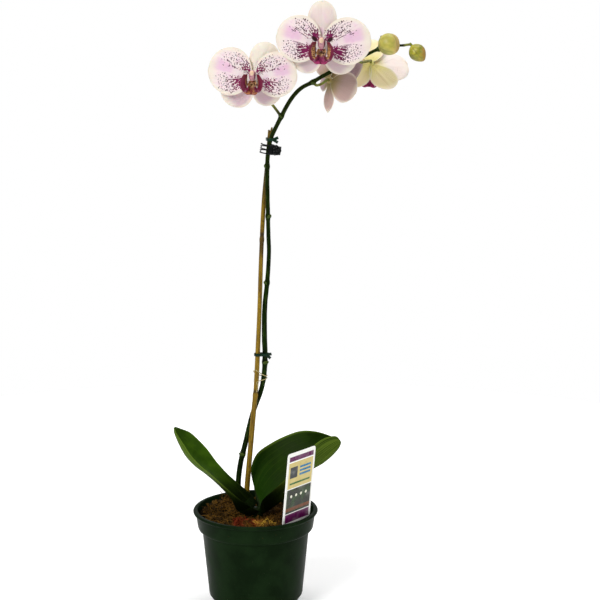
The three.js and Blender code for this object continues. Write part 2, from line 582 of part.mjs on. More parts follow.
// One jaw on its side of the hinge, cut away over the heights where the other jaw's knuckles turn
function jaw(side, toothHeights, knuckles, rooms) {
  const h = CLIP.height / 2;
  const arc = (from, to) => arcBar(side * from, side * to, CLIP.inner, CLIP.outer);
  const spine = prism(arc(16, 82), -h, h);
  const root = prism(bar(0.2, side * 1.1, -1.4, side * 2.3, 1.5), -h, h);
  const teeth = toothHeights.map((z) => prism(arc(78, 205), z - 0.6, z + 0.6));
  const handle = prism(bar(-0.6, side * 1.9, 5.2, side * 4.6, 1.3), -h + 1, h - 1);
  const cuts = rooms.map(([low, high]) => rod(CLIP.barrel + CLEAR, low, high, 10));
  const shaft = rod(CLIP.pin + CLEAR, -7, 7, 10);
  const body = fuse([spine, root, ...teeth, handle]).subtract(fuse([...cuts, shaft]));
  return fuse([body, ...knuckles.map(([low, high]) => knuckle(low, high))]);
}
function flowerButton() {
  const petal = (i) => {
    const a = (2 * Math.PI * (i + 0.2)) / 5;
    const round = new THREE.CylinderGeometry(2.1, 2.1, 1.4, 7);
    return solidOf(round.translate(2.8 * Math.cos(a), 0, 2.8 * Math.sin(a)));
  };
  const middle = solidOf(new THREE.CylinderGeometry(2.6, 2.6, 1.4, 10));
  const boss = solidOf(new THREE.SphereGeometry(1.5, 7, 4).translate(0, -0.7, 0));
  return fuse([middle, boss, ...[0, 1, 2, 3, 4].map(petal)]).translate([1.2, -4.9, 0]);
}
function clipSpring() {
  const coil = Array.from({ length: 31 }, (_, i) => {
    const angle = degrees(-150 + i * 36);
    return at(1.5 * Math.cos(angle), 1.5 * Math.sin(angle), -0.95 + (1.9 * i) / 30);
  });
  return solidOf(stalk(coil, 0.3, spread(32), 5));
}

// Label: a printed plastic card on a pointed foot, pushed in by the rim

const LABEL = { width: 45, height: 74.5, foot: 36, thickness: 0.8 };
const labelFrame = new THREE.Group();
const labelAcross = at(0.62, 0.785, 0).normalize();
const labelUp = at(0.083, -0.0656, 1).normalize();
labelFrame.matrixAutoUpdate = false;
labelFrame.matrix.makeBasis(labelAcross, labelUp.clone().cross(labelAcross), labelUp);
labelFrame.matrix.setPosition(42.6, -32.4, 104.5);
orchid.add(labelFrame);
function labelCard(extra) {
  const [w, corner] = [LABEL.width / 2 + extra, 2.5];
  const outline = new THREE.Shape();
  outline.moveTo(-4 - extra, -LABEL.foot - extra);
  outline.lineTo(4 + extra, -LABEL.foot - extra);
  outline.lineTo(9 + extra, -16);
  outline.lineTo(w, -3);
  outline.lineTo(w, LABEL.height - corner);
  outline.absarc(w - corner, LABEL.height - corner, corner, 0, Math.PI / 2);
  outline.absarc(corner - w, LABEL.height - corner, corner, Math.PI / 2, Math.PI);
  outline.lineTo(-w, -3);
  outline.lineTo(-9 - extra, -16);
  outline.closePath();
  const depth = LABEL.thickness + 2 * extra;
  return solidOf(new THREE.ExtrudeGeometry(outline, { depth, bevelEnabled: false, curveSegments: 4 })
    .rotateX(Math.PI / 2).translate(0, depth / 2, 0));
}

// Moss: the packed growing medium, mounded and lumpy on top, with plain holes for what stands in it

function mossTop(x, y) {
  const lumps = Math.sin(0.31 * x + 1.3) * Math.cos(0.27 * y - 0.4) + 0.6 * Math.sin(0.52 * x - 0.44 * y)
    + 0.5 * Math.cos(0.71 * y + 0.38 * x);
  const away = Math.hypot(x - HEAP.x, y - HEAP.y) / HEAP.reach;
  const heap = HEAP.z * Math.exp(-(away ** 2));
  const dip = MOSS.dip * Math.exp(-(x * x + y * y) / 15 ** 2);
  return MOSS.middle - MOSS.slope * x + heap - dip + MOSS.lump * lumps;
}
function moss() {
  const w = POT.wall;
  const ring = (r, height) => Array.from({ length: POT.sides }, (_, j) => {
    const angle = (2 * Math.PI * j) / POT.sides;
    const [x, y] = [r * Math.cos(angle), r * Math.sin(angle)];
    return at(x, y, typeof height === 'function' ? height(x, y) : height);
  });
  const wall = [[POT.chamferRadius - 2, 4.4 + CLEAR], [POT.bodyFoot - w - CLEAR, POT.chamferHeight + 1],
    [POT.bodyTop - w - 0.7, bandZ - 1.2], [POT.bandFoot - w - 1.1, bandZ + 1.6]];
  const sides = wall.map(([r, z]) => ring(r, z));
  const outer = POT.bandFoot - w - 0.2 - CLEAR;
  const tops = Array.from({ length: MOSS.rings }, (_, i) => outer * (1 - i / MOSS.rings));
  const body = solidOf(loft([...sides, ...tops.map((r) => ring(r, mossTop))]));
  const belowCane = at(-18.1, 19.4, 4);
  const caneHole = solidOf(stalk([belowCane, ...CANE_PATH.slice(0, 3)], CANE_RADIUS + 0.75, spread(8), 12));
  const slot = labelCard(CLEAR).transform(labelFrame.matrix.elements);
  return body.subtract(fuse([caneHole, crownStem(CLEAR)])).subtract(slot);
}

// The whole plant

add('nursery_pot', pot(), PLASTIC_GREEN);
add('moss', moss(), MOSS_BROWN);
add('crown', crown(), LEAF_GREEN);
add('leaf_left', leaf(LEAF_LEFT), LEAF_GREEN);
add('leaf_right', leaf(LEAF_RIGHT), LEAF_GREEN);
add('flower_spike', spray(), SPIKE_GREEN);
add('bamboo_cane', cane(), CANE_TAN);

for (const bloom of BLOOMS) {
  const frame = new THREE.Group();
  frame.matrixAutoUpdate = false;
  frame.matrix.copy(bloomFrame(bloom));
  orchid.add(frame);
  add(`${bloom.name}_sepals`, sepals(bloom), SEPAL_CREAM, frame);
  add(`${bloom.name}_petals`, petals(bloom), PETAL_WHITE, frame);
  for (const mesh of [
    add(`${bloom.name}_lip`, lip(bloom.lip), LIP_CRIMSON, frame),
    add(`${bloom.name}_column`, column(bloom.lip), COLUMN_LILAC, frame),
  ]) {
    mesh.position.z = CUP_LIFT * bloom.open;
  }
}
for (const shape of BUDS) {
  const mesh = add(shape.name, bud(shape), BUD_GREEN);
  mesh.position.copy(shape.centre);
  mesh.quaternion.setFromUnitVectors(at(0, 0, 1), shape.axis.clone().normalize());
}

add('tie_lower', tie(at(2.8, 6.4, 268.5), at(10.4, 7.5, 268.5), 2.85, 3.1, at(0.5, -0.87, 0),
  [at(1, -0.1, -0.9), at(1, -0.2, 0.25)]), TIE_GREEN);
add('tie_upper', tie(at(15.7, 7.1, 491), at(17.3, -0.4, 491), 2.85, 3.3, at(0.7, -0.7, 0),
  [at(1, 0, 0.45), at(1, -0.1, -0.6)]), TIE_GREEN);
add('fibre_tie', fibre(), FIBRE_CREAM);
const backJaw = jaw(1, [-2, 2], [[1.6, 3.1], [-3.1, -1.6]], [[3.1, 6], [-1.6, 1.6], [-6, -3.1]]);
const frontJaw = jaw(-1, [-4.2, 0, 4.2], [[3.4, 5], [-5, -3.4]], [[-3.4, 3.4]]);
add('clip_jaw_back', backJaw, CLIP_BLACK, clipFrame);
add('clip_jaw_front', fuse([frontJaw, flowerButton()]), CLIP_BLACK, clipFrame);
add('clip_pin', rod(CLIP.pin, -5.6, 5.6, 12), STEEL, clipFrame);
add('clip_spring', clipSpring(), STEEL, clipFrame);
add('plant_label', labelCard(0), LABEL_WHITE, labelFrame);

export default orchid;
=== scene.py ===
"""A moth orchid in a nursery pot: an arching spray of four blooms and two buds, held to a bamboo cane."""
import math

import bpy
import numpy as np
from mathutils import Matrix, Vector, noise


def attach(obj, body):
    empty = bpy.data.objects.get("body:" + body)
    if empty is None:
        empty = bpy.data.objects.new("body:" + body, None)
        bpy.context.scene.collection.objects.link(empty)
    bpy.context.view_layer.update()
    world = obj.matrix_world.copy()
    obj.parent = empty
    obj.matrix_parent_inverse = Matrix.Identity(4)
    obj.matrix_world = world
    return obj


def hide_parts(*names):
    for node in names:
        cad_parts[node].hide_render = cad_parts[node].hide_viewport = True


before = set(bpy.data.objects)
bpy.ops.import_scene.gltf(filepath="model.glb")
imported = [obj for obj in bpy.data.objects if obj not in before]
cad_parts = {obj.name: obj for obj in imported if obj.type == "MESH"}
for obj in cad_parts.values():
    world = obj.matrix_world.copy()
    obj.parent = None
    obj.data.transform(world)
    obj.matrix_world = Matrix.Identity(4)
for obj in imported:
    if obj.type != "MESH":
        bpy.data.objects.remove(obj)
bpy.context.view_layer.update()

# Camera and studio
# The plant is seen with a long lens from 1.6 m, at the height of its blooms and turned down towards the pot.
# It stands on a white floor before a bright wall. A large soft box is at the upper left, a weaker one at the
# right, and the room behind the camera is in shade, so that dark plastic and leaves stay dark.
VIEW_PLACE = (0.0466, -1.6, 0.625)
VIEW_DOWN = 10.55
LENS = 95.4
SENSOR_WIDTH = 36
SOFT_BOXES = [
    {"name": "key_light", "place": (-1.3, -1.9, 1.9), "target": (0, 0, 0.35), "size": 1.3, "power": 56},
    {"name": "fill_light", "place": (1.9, -1.3, 1.1), "target": (0.05, 0, 0.3), "size": 1.5, "power": 15},
    {"name": "top_light", "place": (0.3, 0.3, 2.6), "target": (0, 0, 0), "size": 1.6, "power": 24},
]
FLOOR_RADIUS = 1
FLOOR_SIDES = 64
PAPER_GLOW = 0.4
GLOW_MIDDLE = 0.4
GLOW_REACH = (0.08, 0.7)
WALL_LIGHT = 0.75
SHADE_LIGHT = 0.15


def colour(red, green, blue):
    """A colour on the 0 to 255 scale of a screen, as the share of light that it stands for"""
    shares = [value / 255 for value in (red, green, blue)]
    return (*[s / 12.92 if s < 0.04 else ((s + 0.055) / 1.055) ** 2.4 for s in shares], 1)


def add(tree, kind, inputs=None, **settings):
    """One node, with its settings, and its inputs given as values or as what is wired into them"""
    made = tree.nodes.new(kind)
    for key, value in settings.items():
        setattr(made, key, value)
    for key, value in (inputs or {}).items():
        if isinstance(value, bpy.types.NodeSocket):
            tree.links.new(value, made.inputs[key])
        else:
            made.inputs[key].default_value = value
    return made


def calc(tree, operation, *values):
    return add(tree, "ShaderNodeMath", dict(enumerate(values)), operation=operation).outputs[0]


def vector_calc(tree, operation, *values, **named):
    """The vector that the values make, or the number for a length or a distance"""
    inputs = {**dict(enumerate(values)), **named}
    made = add(tree, "ShaderNodeVectorMath", inputs, operation=operation).outputs
    return made["Value" if operation in ("LENGTH", "DISTANCE") else "Vector"]


def split(tree, vector):
    return add(tree, "ShaderNodeSeparateXYZ", {0: vector}).outputs


def own_place(tree):
    """Where a point lies on its own object, in metres"""
    return add(tree, "ShaderNodeTexCoord").outputs["Object"]


def fade(tree, value, low, high, start=0.0, end=1.0):
    """Goes smoothly from start to end as the value goes from low to high"""
    inputs = {"Value": value, "From Min": low, "From Max": high, "To Min": start, "To Max": end}
    return add(tree, "ShaderNodeMapRange", inputs, interpolation_type="SMOOTHSTEP").outputs[0]


def soft_box(name, place, target, size, power):
    lamp = bpy.data.lights.new(name, "AREA")
    lamp.shape = "DISK"
    lamp.size = size
    lamp.energy = power
    box = bpy.data.objects.new(name, lamp)
    box.location = place
    box.rotation_euler = (Vector(target) - Vector(place)).to_track_quat("-Z", "Y").to_euler()
    bpy.context.scene.collection.objects.link(box)


def light_room():
    """White to the camera, otherwise bright towards the wall behind the plant and shaded in front of it"""
    room = bpy.data.worlds.new("room")
    room.use_nodes = True
    tree = room.node_tree
    back = split(tree, add(tree, "ShaderNodeTexCoord").outputs["Generated"])["Y"]
    lit = fade(tree, back, -0.5, 0.6, SHADE_LIGHT, WALL_LIGHT)
    seen = add(tree, "ShaderNodeLightPath").outputs["Is Camera Ray"]
    tree.links.new(calc(tree, "MAXIMUM", seen, lit), tree.nodes["Background"].inputs["Strength"])
    tree.nodes["Background"].inputs["Color"].default_value = (1, 1, 1, 1)
    bpy.context.scene.world = room


def white_paper():
    """Matt paper that glows, more weakly round the pot than further out"""
    paper = bpy.data.materials.new("white_paper")
    paper.use_nodes = True
    tree = paper.node_tree
    look = tree.nodes["Principled BSDF"].inputs
    look["Base Color"].default_value = colour(252, 252, 252)
    look["Roughness"].default_value = 0.9
    look["Emission Strength"].default_value = PAPER_GLOW
    outer = fade(tree, vector_calc(tree, "LENGTH", own_place(tree)), *GLOW_REACH, GLOW_MIDDLE, 1.0)
    glow = add(tree, "ShaderNodeCombineColor", {0: outer, 1: outer, 2: outer}).outputs[0]
    tree.links.new(glow, look["Emission Color"])
    return paper


lens = bpy.data.cameras.new("lens")
lens.lens = LENS
lens.sensor_width = SENSOR_WIDTH
lens.clip_end = 100
viewer = bpy.data.objects.new("viewer", lens)
viewer.location = VIEW_PLACE
viewer.rotation_euler = (math.radians(90 - VIEW_DOWN), 0, 0)
bpy.context.scene.collection.objects.link(viewer)
bpy.context.scene.camera = viewer
bpy.context.scene.view_settings.view_transform = "Standard"
light_room()
for box in SOFT_BOXES:
    soft_box(**box)

floor_mesh = bpy.data.meshes.new("floor")
rim_angles = np.linspace(0, 2 * math.pi, FLOOR_SIDES, endpoint=False)
floor_rim = [(FLOOR_RADIUS * math.cos(a), FLOOR_RADIUS * math.sin(a), 0) for a in rim_angles]
floor_mesh.from_pydata(floor_rim, [], [range(FLOOR_SIDES)])
floor_mesh.materials.append(white_paper())
floor = bpy.data.objects.new("floor", floor_mesh)
bpy.context.scene.collection.objects.link(floor)

# Nursery pot
# Dark green polypropylene, injection moulded: a tapered shell with a deep band under a rolled lip, a
# chamfered foot, and a ring of drain holes round a raised middle. Handling has left swirls and dust on it.
POT_HEIGHT = 105
POT_UNDERSIDE = [(0, 0), (13, 0), (14.5, 2.4), (35, 2.4), (36.5, 0)]
POT_OUTSIDE = [(43, 0), (43.8, 5.6), (49.2, 13.6), (56, 83), (59.8, 85), (60.6, 87), (62.6, 101), (64.9, 102),
               (65.5, 103.4), (64.3, POT_HEIGHT)]
POT_INSIDE = [(60.8, POT_HEIGHT), (58.4, 87.6), (54.2, 84.8), (47.4, 14.4), (42.1, 6.8), (41.4, 4.4),
              (0, 4.4)]
POT_CORNER = 0.7
POT_SIDES = 144
DRAIN_HOLES = 8
DRAIN_RADIUS = 4
DRAIN_RING = 27
DRILL_REACH = (-3, 9)
POT_GREEN = colour(19, 34, 16)
POT_DEEP = colour(12, 24, 10)
POT_SHEEN = (0.6, 1.0, 0.5, 1)
POT_IOR = 1.2
DUST = colour(90, 94, 74)
MM = 0.001


def times(tree, *values):
    return calc(tree, "MULTIPLY", *values)


def plus(tree, *values):
    return calc(tree, "ADD", *values)


def tint(tree, share, below, above):
    """The colour between two others at that share"""
    return add(tree, "ShaderNodeMix", {0: share, 6: below, 7: above}, data_type="RGBA").outputs[2]


def cloud(tree, where, scale, detail=3.0, stretch=(1, 1, 1)):
    """Cloudy noise from 0 to 1, with scale clouds a metre, drawn out along the axes where stretch is small"""
    vector = add(tree, "ShaderNodeMapping", {"Vector": where, "Scale": stretch}).outputs[0]
    return add(tree, "ShaderNodeTexNoise", {"Vector": vector, "Scale": scale, "Detail": detail}).outputs[0]


def new_effect(name, inputs, outputs):
    """A shader node group with inputs named and given by their first values, and outputs by their kinds"""
    kinds = {float: "NodeSocketFloat", tuple: "NodeSocketColor", Vector: "NodeSocketVector"}
    group = bpy.data.node_groups.new(name, "ShaderNodeTree")
    for key, value in inputs.items():
        made = group.interface.new_socket(key, in_out="INPUT", socket_type=kinds[type(value)])
        made.default_value = value
    for key, kind in outputs.items():
        group.interface.new_socket(key, in_out="OUTPUT", socket_type="NodeSocket" + kind)
    return group, add(group, "NodeGroupInput").outputs, add(group, "NodeGroupOutput").inputs


def use_effect(tree, group, **inputs):
    named = {key.replace("_", " "): value for key, value in inputs.items()}
    return add(tree, "ShaderNodeGroup", named, node_tree=group).outputs


def new_finish(name, **plain):
    """A material, with what is the same all over it set on its surface"""
    material = bpy.data.materials.new(name)
    material.use_nodes = True
    for key, value in plain.items():
        material.node_tree.nodes["Principled BSDF"].inputs[key.replace("_", " ")].default_value = value
    return material, material.node_tree


def dress(tree, **wires):
    """Wires what changes over the surface into it"""
    for key, value in wires.items():
        tree.links.new(value, tree.nodes["Principled BSDF"].inputs[key.replace("_", " ")])


def relief(tree, height, depth):
    """The surface's normal over a height from 0 to 1 that stands that many metres deep"""
    return add(tree, "ShaderNodeBump", {"Height": height, "Distance": depth}).outputs[0]


def handled_plastic():
    """Moulded plastic that has been handled: cloudy in colour and gloss, with specks of dust"""
    inputs = {"Place": Vector((0, 0, 0)), "Colour": POT_GREEN, "Deep": POT_DEEP, "Dust": 0.5,
              "Roughness": 0.4}
    outputs = {"Colour": "Color", "Roughness": "Float", "Height": "Float"}
    group, given, out = new_effect("handled_plastic", inputs, outputs)
    swirl = cloud(group, given["Place"], 45, 4)
    specks = add(group, "ShaderNodeTexVoronoi", {"Vector": given["Place"], "Scale": 330.0})
    speck = fade(group, specks.outputs["Distance"], 0.05, 0.11, 1.0, 0.0)
    lying = times(group, speck, fade(group, cloud(group, given["Place"], 120), 0.5, 0.66))
    dusty = times(group, lying, given["Dust"])
    plain = tint(group, fade(group, swirl, 0.35, 0.7), given["Deep"], given["Colour"])
    group.links.new(tint(group, dusty, plain, DUST), out["Colour"])
    dull = plus(group, given["Roughness"], fade(group, swirl, 0.3, 0.75, -0.07, 0.07))
    group.links.new(plus(group, dull, dusty), out["Roughness"])
    group.links.new(cloud(group, given["Place"], 900, 2), out["Height"])
    return group


PLASTIC_WEAR = handled_plastic()


def plastic(name, wear, depth, **plain):
    """Moulded plastic with its own values for the wear, and a grain that stands that many metres deep"""
    material, tree = new_finish(name, **plain)
    worn = use_effect(tree, PLASTIC_WEAR, Place=own_place(tree), **wear)
    dress(tree, Base_Color=worn["Colour"], Roughness=worn["Roughness"],
          Normal=relief(tree, worn["Height"], depth))
    return material


def rounded(profile, reach, steps=4):
    """The profile with each corner between its ends eased over a reach"""
    profile = np.array(profile, float)
    eased = [profile[0]]
    for before, corner, after in zip(profile, profile[1:], profile[2:]):
        start, end = [corner + (other - corner) * min(reach / np.linalg.norm(other - corner), 0.45)
                      for other in (before, after)]
        for s in np.linspace(0, 1, steps):
            eased.append((1 - s) ** 2 * start + 2 * s * (1 - s) * corner + s * s * end)
    return np.array([*eased, profile[-1]])


def all_round(sides):
    """As many angles as sides, evenly round from 0"""
    return 2 * math.pi * np.arange(sides) / sides


def level_ring(radius, height, sides):
    angles = all_round(sides)
    return np.column_stack([radius * np.cos(angles), radius * np.sin(angles), np.full(sides, height)])


def wall_faces(count, sides, closed=False):
    """The quads from each ring of points to the next, and from the last to the first when closed"""
    one = np.arange(sides)
    two = (one + 1) % sides
    low = np.arange(count if closed else count - 1)[:, None] * sides
    high = (low + sides) % (count * sides)
    return np.stack([low + one, low + two, high + two, high + one], -1).reshape(-1, 4)


def ring_marks(angles, count):
    """For rings of points at those angles, the angle's cosine, the share along them and its sine"""
    angle = np.tile(angles, count)
    along = np.repeat(np.linspace(0, 1, count), len(angles))
    return np.column_stack([np.cos(angle), along, np.sin(angle)])


def lofted(rings, hubs=None):
    """A closed body through rings that run anticlockwise about the way they follow, with a fan over each end.
    Its place mark is the cosine of the angle round it, the share along it and the sine."""
    rings = np.asarray(rings, float)
    count, sides = rings.shape[:2]
    hubs = rings[[0, -1]].mean(axis=1) if hubs is None else np.array(hubs, float)
    one = np.arange(sides)
    two = (one + 1) % sides
    last = (count - 1) * sides
    start = np.column_stack([np.full(sides, count * sides), two, one])
    end = np.column_stack([np.full(sides, count * sides + 1), last + one, last + two])
    place = np.vstack([ring_marks(all_round(sides), count), [(0, 0, 0), (0, 1, 0)]])
    return {"points": np.vstack([rings.reshape(-1, 3), hubs]), "place": place,
            "faces": wall_faces(count, sides).tolist() + start.tolist() + end.tolist()}


def turned(profile, sides):
    """A body turned about the upright axis, from a profile of radius and height that starts and ends on it"""
    rings = [level_ring(radius, height, sides) for radius, height in profile[1:-1]]
    return lofted(rings, [(0, 0, profile[0][1]), (0, 0, profile[-1][1])])


def faces_out(part):
    """The faces of a closed body, all turned outward"""
    corners, volume = part["points"], 0
    for count in {len(face) for face in part["faces"]}:
        rows = np.array([face for face in part["faces"] if len(face) == count])
        for i in range(1, count - 1):
            fan = np.cross(corners[rows[:, i]], corners[rows[:, i + 1]])
            volume += np.sum(corners[rows[:, 0]] * fan)
    return part["faces"] if volume > 0 else [face[::-1] for face in part["faces"]]


def build(name, parts, crease=40):
    """One object from parts in millimetres, smooth but for edges sharper than the crease. A part has points,
    faces, a finish and the mark, place, that its finish reads, and may have a second mark, flat."""
    starts = np.cumsum([0] + [len(part["points"]) for part in parts])
    faces = [[start + i for i in face] for start, part in zip(starts, parts) for face in faces_out(part)]
    mesh = bpy.data.meshes.new(name)
    mesh.from_pydata((np.vstack([part["points"] for part in parts]) * MM).tolist(), [], faces)
    finishes = list(dict.fromkeys(part["finish"] for part in parts))
    for finish in finishes:
        mesh.materials.append(finish)
    worn = [finishes.index(part["finish"]) for part in parts for _ in part["faces"]]
    mesh.polygons.foreach_set("material_index", worn)
    for key in [key for key in ("place", "flat") if key in parts[0]]:
        mark = mesh.attributes.new(key, "FLOAT_VECTOR", "POINT")
        mark.data.foreach_set("vector", np.vstack([part[key] for part in parts]).ravel())
    mesh.shade_smooth()
    mesh.set_sharp_from_angle(angle=math.radians(crease))
    piece = bpy.data.objects.new(name, mesh)
    bpy.context.scene.collection.objects.link(piece)
    return piece


def plain_mesh(piece):
    """Replaces the piece's mesh with what its modifiers make of it, and takes them off"""
    shaped = piece.evaluated_get(bpy.context.evaluated_depsgraph_get())
    mesh = bpy.data.meshes.new_from_object(shaped)
    piece.modifiers.clear()
    piece.data = mesh


def belongs(piece, body="plant"):
    """The piece rides on its body"""
    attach(piece, body)


def stands_for(piece, node, body="plant"):
    """The piece belongs to its body, and takes the place of the record's node"""
    belongs(piece, body)
    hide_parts(node)


pot_plastic = plastic("pot_plastic", {"Dust": 0.4, "Roughness": 0.4}, 0.00006, IOR=POT_IOR,
                      Specular_IOR_Level=0.1, Specular_Tint=POT_SHEEN)
pot_profile = rounded([*POT_UNDERSIDE, *POT_OUTSIDE, *POT_INSIDE], POT_CORNER)
pot = build("pot_shell", [{**turned(pot_profile, POT_SIDES), "finish": pot_plastic}], crease=50)
drills = []
low, high = DRILL_REACH
for i in range(DRAIN_HOLES):
    turn = 2 * math.pi * (i + 0.5) / DRAIN_HOLES
    drill = turned([(0, low), (DRAIN_RADIUS, low), (DRAIN_RADIUS, high), (0, high)], 24)
    drill["points"] += (DRAIN_RING * math.cos(turn), DRAIN_RING * math.sin(turn), 0)
    drills.append({**drill, "finish": pot_plastic})
drill_set = build("drill_set", drills)
cut = pot.modifiers.new("drain", "BOOLEAN")
cut.object = drill_set
cut.solver = "EXACT"
plain_mesh(pot)
bpy.data.objects.remove(drill_set)
stands_for(pot, "nursery_pot")

# Moss and bark
# The pot is packed with damp long-fibred moss and chips of bark, heaped at the back left and lower at the
# right. The strands curl over one another, brown and straw-coloured at the left, reddish and yellow in front.
MOSS_MIDDLE = 95
MOSS_SLOPE = 0.09
MOSS_DIP = {"z": 2.5, "reach": 15}
MOSS_LUMP = 1.2
HEAP = {"x": -35, "y": 38, "z": 4, "reach": 22}
MOSS_WALL = [(41, 4.75), (41.6, 7.2), (47, 14.8), (53.5, 84.8), (57.7, 87.6)]
MOSS_RADIUS = 58.2
MOSS_SIDES = 120
STREWN_RADIUS = {"strands": 49.5, "chips": 53}
STRANDS = {"Density": 420000.0, "Length": 0.021, "Thickness": 0.00034, "Curl": 0.012, "Frizz": 0.009,
           "Tilt": 0.4, "Seed": 7}
CHIPS = {"Density": 12000.0, "Size": (0.0065, 0.0042, 0.0028), "Rough": 0.004, "Seed": 3}
PEAT_BROWN = colour(28, 17, 4)
PEAT_DARK = colour(16, 11, 5)
STRAW = colour(142, 100, 34)
MOSS_OLIVE = colour(80, 58, 18)
MOSS_RED = colour(122, 40, 18)
MOSS_YELLOW = colour(202, 158, 56)
BARK_BROWN = colour(74, 38, 18)


def moss_top(x, y):
    """The medium's height at a place"""
    lumps = (np.sin(0.31 * x + 1.3) * np.cos(0.27 * y - 0.4) + 0.6 * np.sin(0.52 * x - 0.44 * y)
             + 0.5 * np.cos(0.71 * y + 0.38 * x))
    heap = HEAP["z"] * np.exp(-(np.hypot(x - HEAP["x"], y - HEAP["y"]) / HEAP["reach"]) ** 2)
    dip = MOSS_DIP["z"] * np.exp(-(np.hypot(x, y) / MOSS_DIP["reach"]) ** 2)
    return MOSS_MIDDLE - MOSS_SLOPE * x + heap - dip + MOSS_LUMP * lumps


def moss_bed(finish):
    angles = all_round(MOSS_SIDES)
    rings = [level_ring(radius, height, MOSS_SIDES) for radius, height in MOSS_WALL]
    for radius in np.linspace(MOSS_RADIUS, 1.5, 40):
        x, y = radius * np.cos(angles), radius * np.sin(angles)
        rough = [noise.fractal((a * 0.22, b * 0.22, 0), 0.8, 2, 4) for a, b in zip(x, y)]
        rings.append(np.column_stack([x, y, moss_top(x, y) + 1.3 * np.array(rough) - 0.6]))
    return {**lofted(rings), "finish": finish}


def moss_colour():
    """The growing medium's colour by place: straw and olive left, brown right, red and yellow in front"""
    inputs = {"Place": Vector((0, 0, 0)), "Tone": 0.5}
    group, given, out = new_effect("moss_colour", inputs, {"Colour": "Color"})
    wander = cloud(group, given["Place"], 60, 2)
    left = tint(group, given["Tone"], PEAT_BROWN, tint(group, wander, MOSS_OLIVE, STRAW))
    right = tint(group, given["Tone"], PEAT_BROWN, BARK_BROWN)
    base = tint(group, fade(group, split(group, given["Place"])["X"], 0.01, 0.05), left, right)

    def patch(x, y, reach):
        """A soft round patch, 1 in its middle"""
        away = vector_calc(group, "DISTANCE", given["Place"], (x, y, MOSS_MIDDLE * MM))
        uneven = plus(group, away, fade(group, wander, 0.3, 0.7, -0.006, 0.006))
        return fade(group, uneven, reach * 0.5, reach, 1.0, 0.0)

    patched = tint(group, times(group, patch(-0.008, -0.024, 0.019), 0.95), base, MOSS_RED)
    for x, y, reach in ((0.009, -0.024, 0.015), (0.05, -0.022, 0.013)):
        patched = tint(group, times(group, patch(x, y, reach), given["Tone"]), patched, MOSS_YELLOW)
    group.links.new(patched, out["Colour"])
    return group


MOSS_COLOUR = moss_colour()


def moss_finish(name, tone_low, tone_high):
    material, tree = new_finish(name, Roughness=0.85, Specular_IOR_Level=0.1)
    where = own_place(tree)
    own_tone = add(tree, "ShaderNodeAttribute", attribute_name="tone").outputs["Fac"]
    tone = fade(tree, times(tree, cloud(tree, where, 700, 3), own_tone), 0.05, 0.55, tone_low, tone_high)
    coloured = use_effect(tree, MOSS_COLOUR, Place=where, Tone=tone)
    dress(tree, Base_Color=coloured["Colour"], Normal=relief(tree, cloud(tree, where, 1600, 3), 0.0004))
    return material


def grained(name, dark, light, grain, span, depth, **plain):
    """Two colours in a grain, given by its scale and detail, that fade over a span and stand that deep"""
    material, tree = new_finish(name, **plain)
    grains = cloud(tree, own_place(tree), *grain)
    dress(tree, Base_Color=tint(tree, fade(tree, grains, *span), dark, light),
          Normal=relief(tree, grains, depth))
    return material


def growth(name, inputs):
    """A geometry node tree that takes a surface and named numbers, and the tree's input and output"""
    tree = bpy.data.node_groups.new(name, "GeometryNodeTree")
    kinds = {float: "Float", int: "Int", tuple: "Vector", bpy.types.Material: "Material"}
    tree.interface.new_socket("Surface", in_out="INPUT", socket_type="NodeSocketGeometry")
    for key, value in inputs.items():
        tree.interface.new_socket(key, in_out="INPUT", socket_type="NodeSocket" + kinds[type(value)])
    tree.interface.new_socket("Grown", in_out="OUTPUT", socket_type="NodeSocketGeometry")
    return tree, add(tree, "NodeGroupInput").outputs, add(tree, "NodeGroupOutput").inputs["Grown"]


def geometry(tree, kind, inputs=None, **settings):
    """A new geometry node's first result"""
    return add(tree, "GeometryNode" + kind, inputs, **settings).outputs[0]


def random_number(tree, low, high, seed):
    return add(tree, "FunctionNodeRandomValue", {2: low, 3: high, 8: seed}, data_type="FLOAT").outputs[1]


def scattered(tree, given, instance, tilt):
    """The instance strewn over the surface, turned at random, each with a tone of its own, and made real"""
    strewing = {"Mesh": given["Surface"], "Density": given["Density"], "Seed": given["Seed"]}
    points = geometry(tree, "DistributePointsOnFaces", strewing)
    low = vector_calc(tree, "SCALE", (1, 1, 0), Scale=tilt)
    turns = {0: vector_calc(tree, "MULTIPLY", low, (-1, -1, 0)),
             1: vector_calc(tree, "ADD", low, (0, 0, 2 * math.pi)), 8: given["Seed"]}
    turn = add(tree, "FunctionNodeRandomValue", turns, data_type="FLOAT_VECTOR").outputs[0]
    spin = add(tree, "FunctionNodeEulerToRotation", {0: turn}).outputs[0]
    size = random_number(tree, 0.55, 1.35, 11)
    strewn = geometry(tree, "InstanceOnPoints",
                      {"Points": points, "Instance": instance, "Rotation": spin, "Scale": size})
    tone = {"Geometry": strewn, "Name": "tone", "Value": random_number(tree, 0.0, 1.0, 23)}
    toned = geometry(tree, "StoreNamedAttribute", tone, data_type="FLOAT", domain="INSTANCE")
    return geometry(tree, "RealizeInstances", {0: toned})


def shaken(tree, body, scale, reach):
    """The body with its points moved by noise, up to about half the reach each way"""
    place = geometry(tree, "InputPosition")
    waves = add(tree, "ShaderNodeTexNoise", {"Vector": place, "Scale": scale, "Detail": 1.0}).outputs["Color"]
    centred = vector_calc(tree, "SUBTRACT", waves, (0.5, 0.5, 0.5))
    move = vector_calc(tree, "SCALE", centred, Scale=reach)
    return geometry(tree, "SetPosition", {"Geometry": body, "Offset": move})


def round_bar(tree, sides, line, radius, **more):
    """The line with a round section and closed ends"""
    section = geometry(tree, "CurvePrimitiveCircle", {"Resolution": sides, "Radius": radius}, mode="RADIUS")
    return geometry(tree, "CurveToMesh", {"Curve": line, "Profile Curve": section, **more, "Fill Caps": True})


